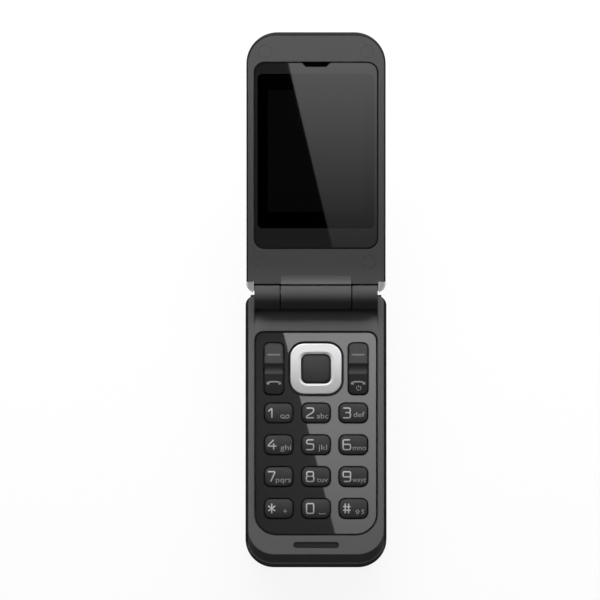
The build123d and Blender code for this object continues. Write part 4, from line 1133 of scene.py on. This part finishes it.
def hangSideCards():
    dark = newFinish("sideFlagBlack").glow(grey(sideCard["flagTone"]), 1.0)
    wide = sideCard["wide"]
    for i, own in enumerate(sideGlare):
        (headX, head), (footX, foot) = own["edge"]
        behind = [(-wide, head + wide), (-wide, foot - wide), (wide, foot - wide), (wide, head + wide)]
        glossSheet("side_flag_" + str(i), sideCorners(own, behind, flag["height"]), dark)
        lit = [(headX, head), (footX, foot), (wide / 2, foot), (wide / 2, head)]
        corners = sideCorners(own, lit, card["height"])
        glossSheet("side_card_" + str(i), corners, cardLight("sideLight_" + str(i), corners, own["bright"], 1.0))


flag = {
    "height": 0.58, "half": 0.45, "foot": -0.5, "head": 0.3,
    "opens": 1.5, "opensFrom": (0.07, 0.3),  # paler towards the lamp
    "baseHalf": (0.2, 0.24), "baseLift": 0.1 * mm,
}
skirt = {"reach": 0.75, "tall": 0.3, "tone": 0.12, "palesFrom": 0.08, "turn": 15}  # low dark walls all round


def hangFlags():
    f = newFinish("flagBlack")
    black = f.glow(f.tint(f.xyz()[1].rise(*flag["opensFrom"]), grey(0.0), grey(1.0)), flag["opens"])
    glossSheet("flag", level(flag["half"], flag["foot"], flag["head"], flag["height"]), black)
    wide, deep = flag["baseHalf"]
    glossSheet("baseFlag", level(wide, -deep, deep, cadBox[0][2] + flag["baseLift"]), black)


def hangSkirt():
    f = newFinish("skirtDark")
    upward = f.xyz()[2].rise(skirt["palesFrom"], skirt["tall"])
    dark = f.glow(f.tint(upward, grey(skirt["tone"]), grey(1.0)), 1.0)
    turns = [math.radians(angle) for angle in range(0, 360, skirt["turn"])]
    low = cadBox[0][2]
    rim = [Vector((math.sin(turn) * skirt["reach"], math.cos(turn) * skirt["reach"], low)) for turn in turns]
    up = Vector((0, 0, skirt["tall"]))
    for i, (start, end) in enumerate(zip(rim, rim[1:] + rim[:1])):
        glossSheet("skirt_" + str(i), [start, end, end + up, start + up], dark)


def shownRays(f):  # 1 for what the camera sees straight, in a mirror or through glass
    rays = f.node("ShaderNodeLightPath").socket.node.outputs
    camera, glossy, through = (Wire(f, rays[name]) for name in
                               ("Is Camera Ray", "Is Glossy Ray", "Is Transmission Ray"))
    return camera.most(glossy).most(through)


floor = {
    "tones": (0.86, 0.9), "cloud": 0.3, "bounce": 0.12, "size": 9.0,
    "white": 0.9, "fade": (0.16, 0.45),  # share of plain white near the object, and where it gets full
}


def layFloor():
    f = newFinish("floorPale")
    dull, pale = floor["tones"]
    tone = f.tint(f.speckle(floor["cloud"], 2.0), grey(dull), grey(pale))
    matt = f.node("ShaderNodeBsdfDiffuse", {}, {"Color": tone})
    white = f.node("ShaderNodeEmission", {}, {"Color": (1, 1, 1, 1), "Strength": 1.0})
    dim = f.node("ShaderNodeBsdfDiffuse", {}, {"Color": grey(floor["bounce"])})
    x, y = f.xyz()[:2]
    share = floor["white"] + reach(x, y).rise(*floor["fade"]) * (1 - floor["white"])
    shown = f.node("ShaderNodeMixShader", {}, {0: share, 1: matt, 2: white})
    both = f.node("ShaderNodeMixShader", {}, {0: shownRays(f), 1: dim, 2: shown})
    f.node("ShaderNodeOutputMaterial", {}, {"Surface": both})
    half = floor["size"] / 2
    stageSheet("floor", level(half, -half, half, cadBox[0][2]), f.owner)


lamp = {"from": (0.0, 0.927, 0.375), "distance": 0.45, "size": (1.3, 0.25), "power": 11.5}


def hangLamp():
    away = Vector(lamp["from"]).normalized()
    data = bpy.data.lights.new("keyLight", "AREA")
    data.shape = "RECTANGLE"
    data.size, data.size_y = lamp["size"]
    data.energy = lamp["power"]
    light = bpy.data.objects.new("keyLight", data)
    light.location = hinge + away * lamp["distance"]
    light.rotation_euler = away.to_track_quat("Z", "Y").to_euler()
    light.visible_glossy = False  # the cards make the gloss
    bpy.context.scene.collection.objects.link(light)


ambient = {"front": 0.07, "back": 0.3}


def lightWorld():
    bpy.context.scene.world = bpy.data.worlds.new("studio")
    f = Finish(bpy.context.scene.world)
    behind = f.split(f.node("ShaderNodeTexCoord", out="Generated"))[1] * 0.5 + 0.5
    tone = f.tint(behind, grey(ambient["front"]), grey(ambient["back"]))
    soft = f.node("ShaderNodeBackground", {}, {"Color": tone, "Strength": 1.0})
    white = f.node("ShaderNodeBackground", {}, {"Color": (1, 1, 1, 1), "Strength": 1.0})
    both = f.node("ShaderNodeMixShader", {}, {0: shownRays(f), 1: soft, 2: white})
    f.node("ShaderNodeOutputWorld", {}, {"Surface": both})


layFloor()
hangCards()
hangSideCards()
hangFlags()
hangSkirt()
hangLamp()
lightWorld()
bpy.context.scene.view_settings.view_transform = "Standard"
print("studio: floor, cards, flags, lamp and world")
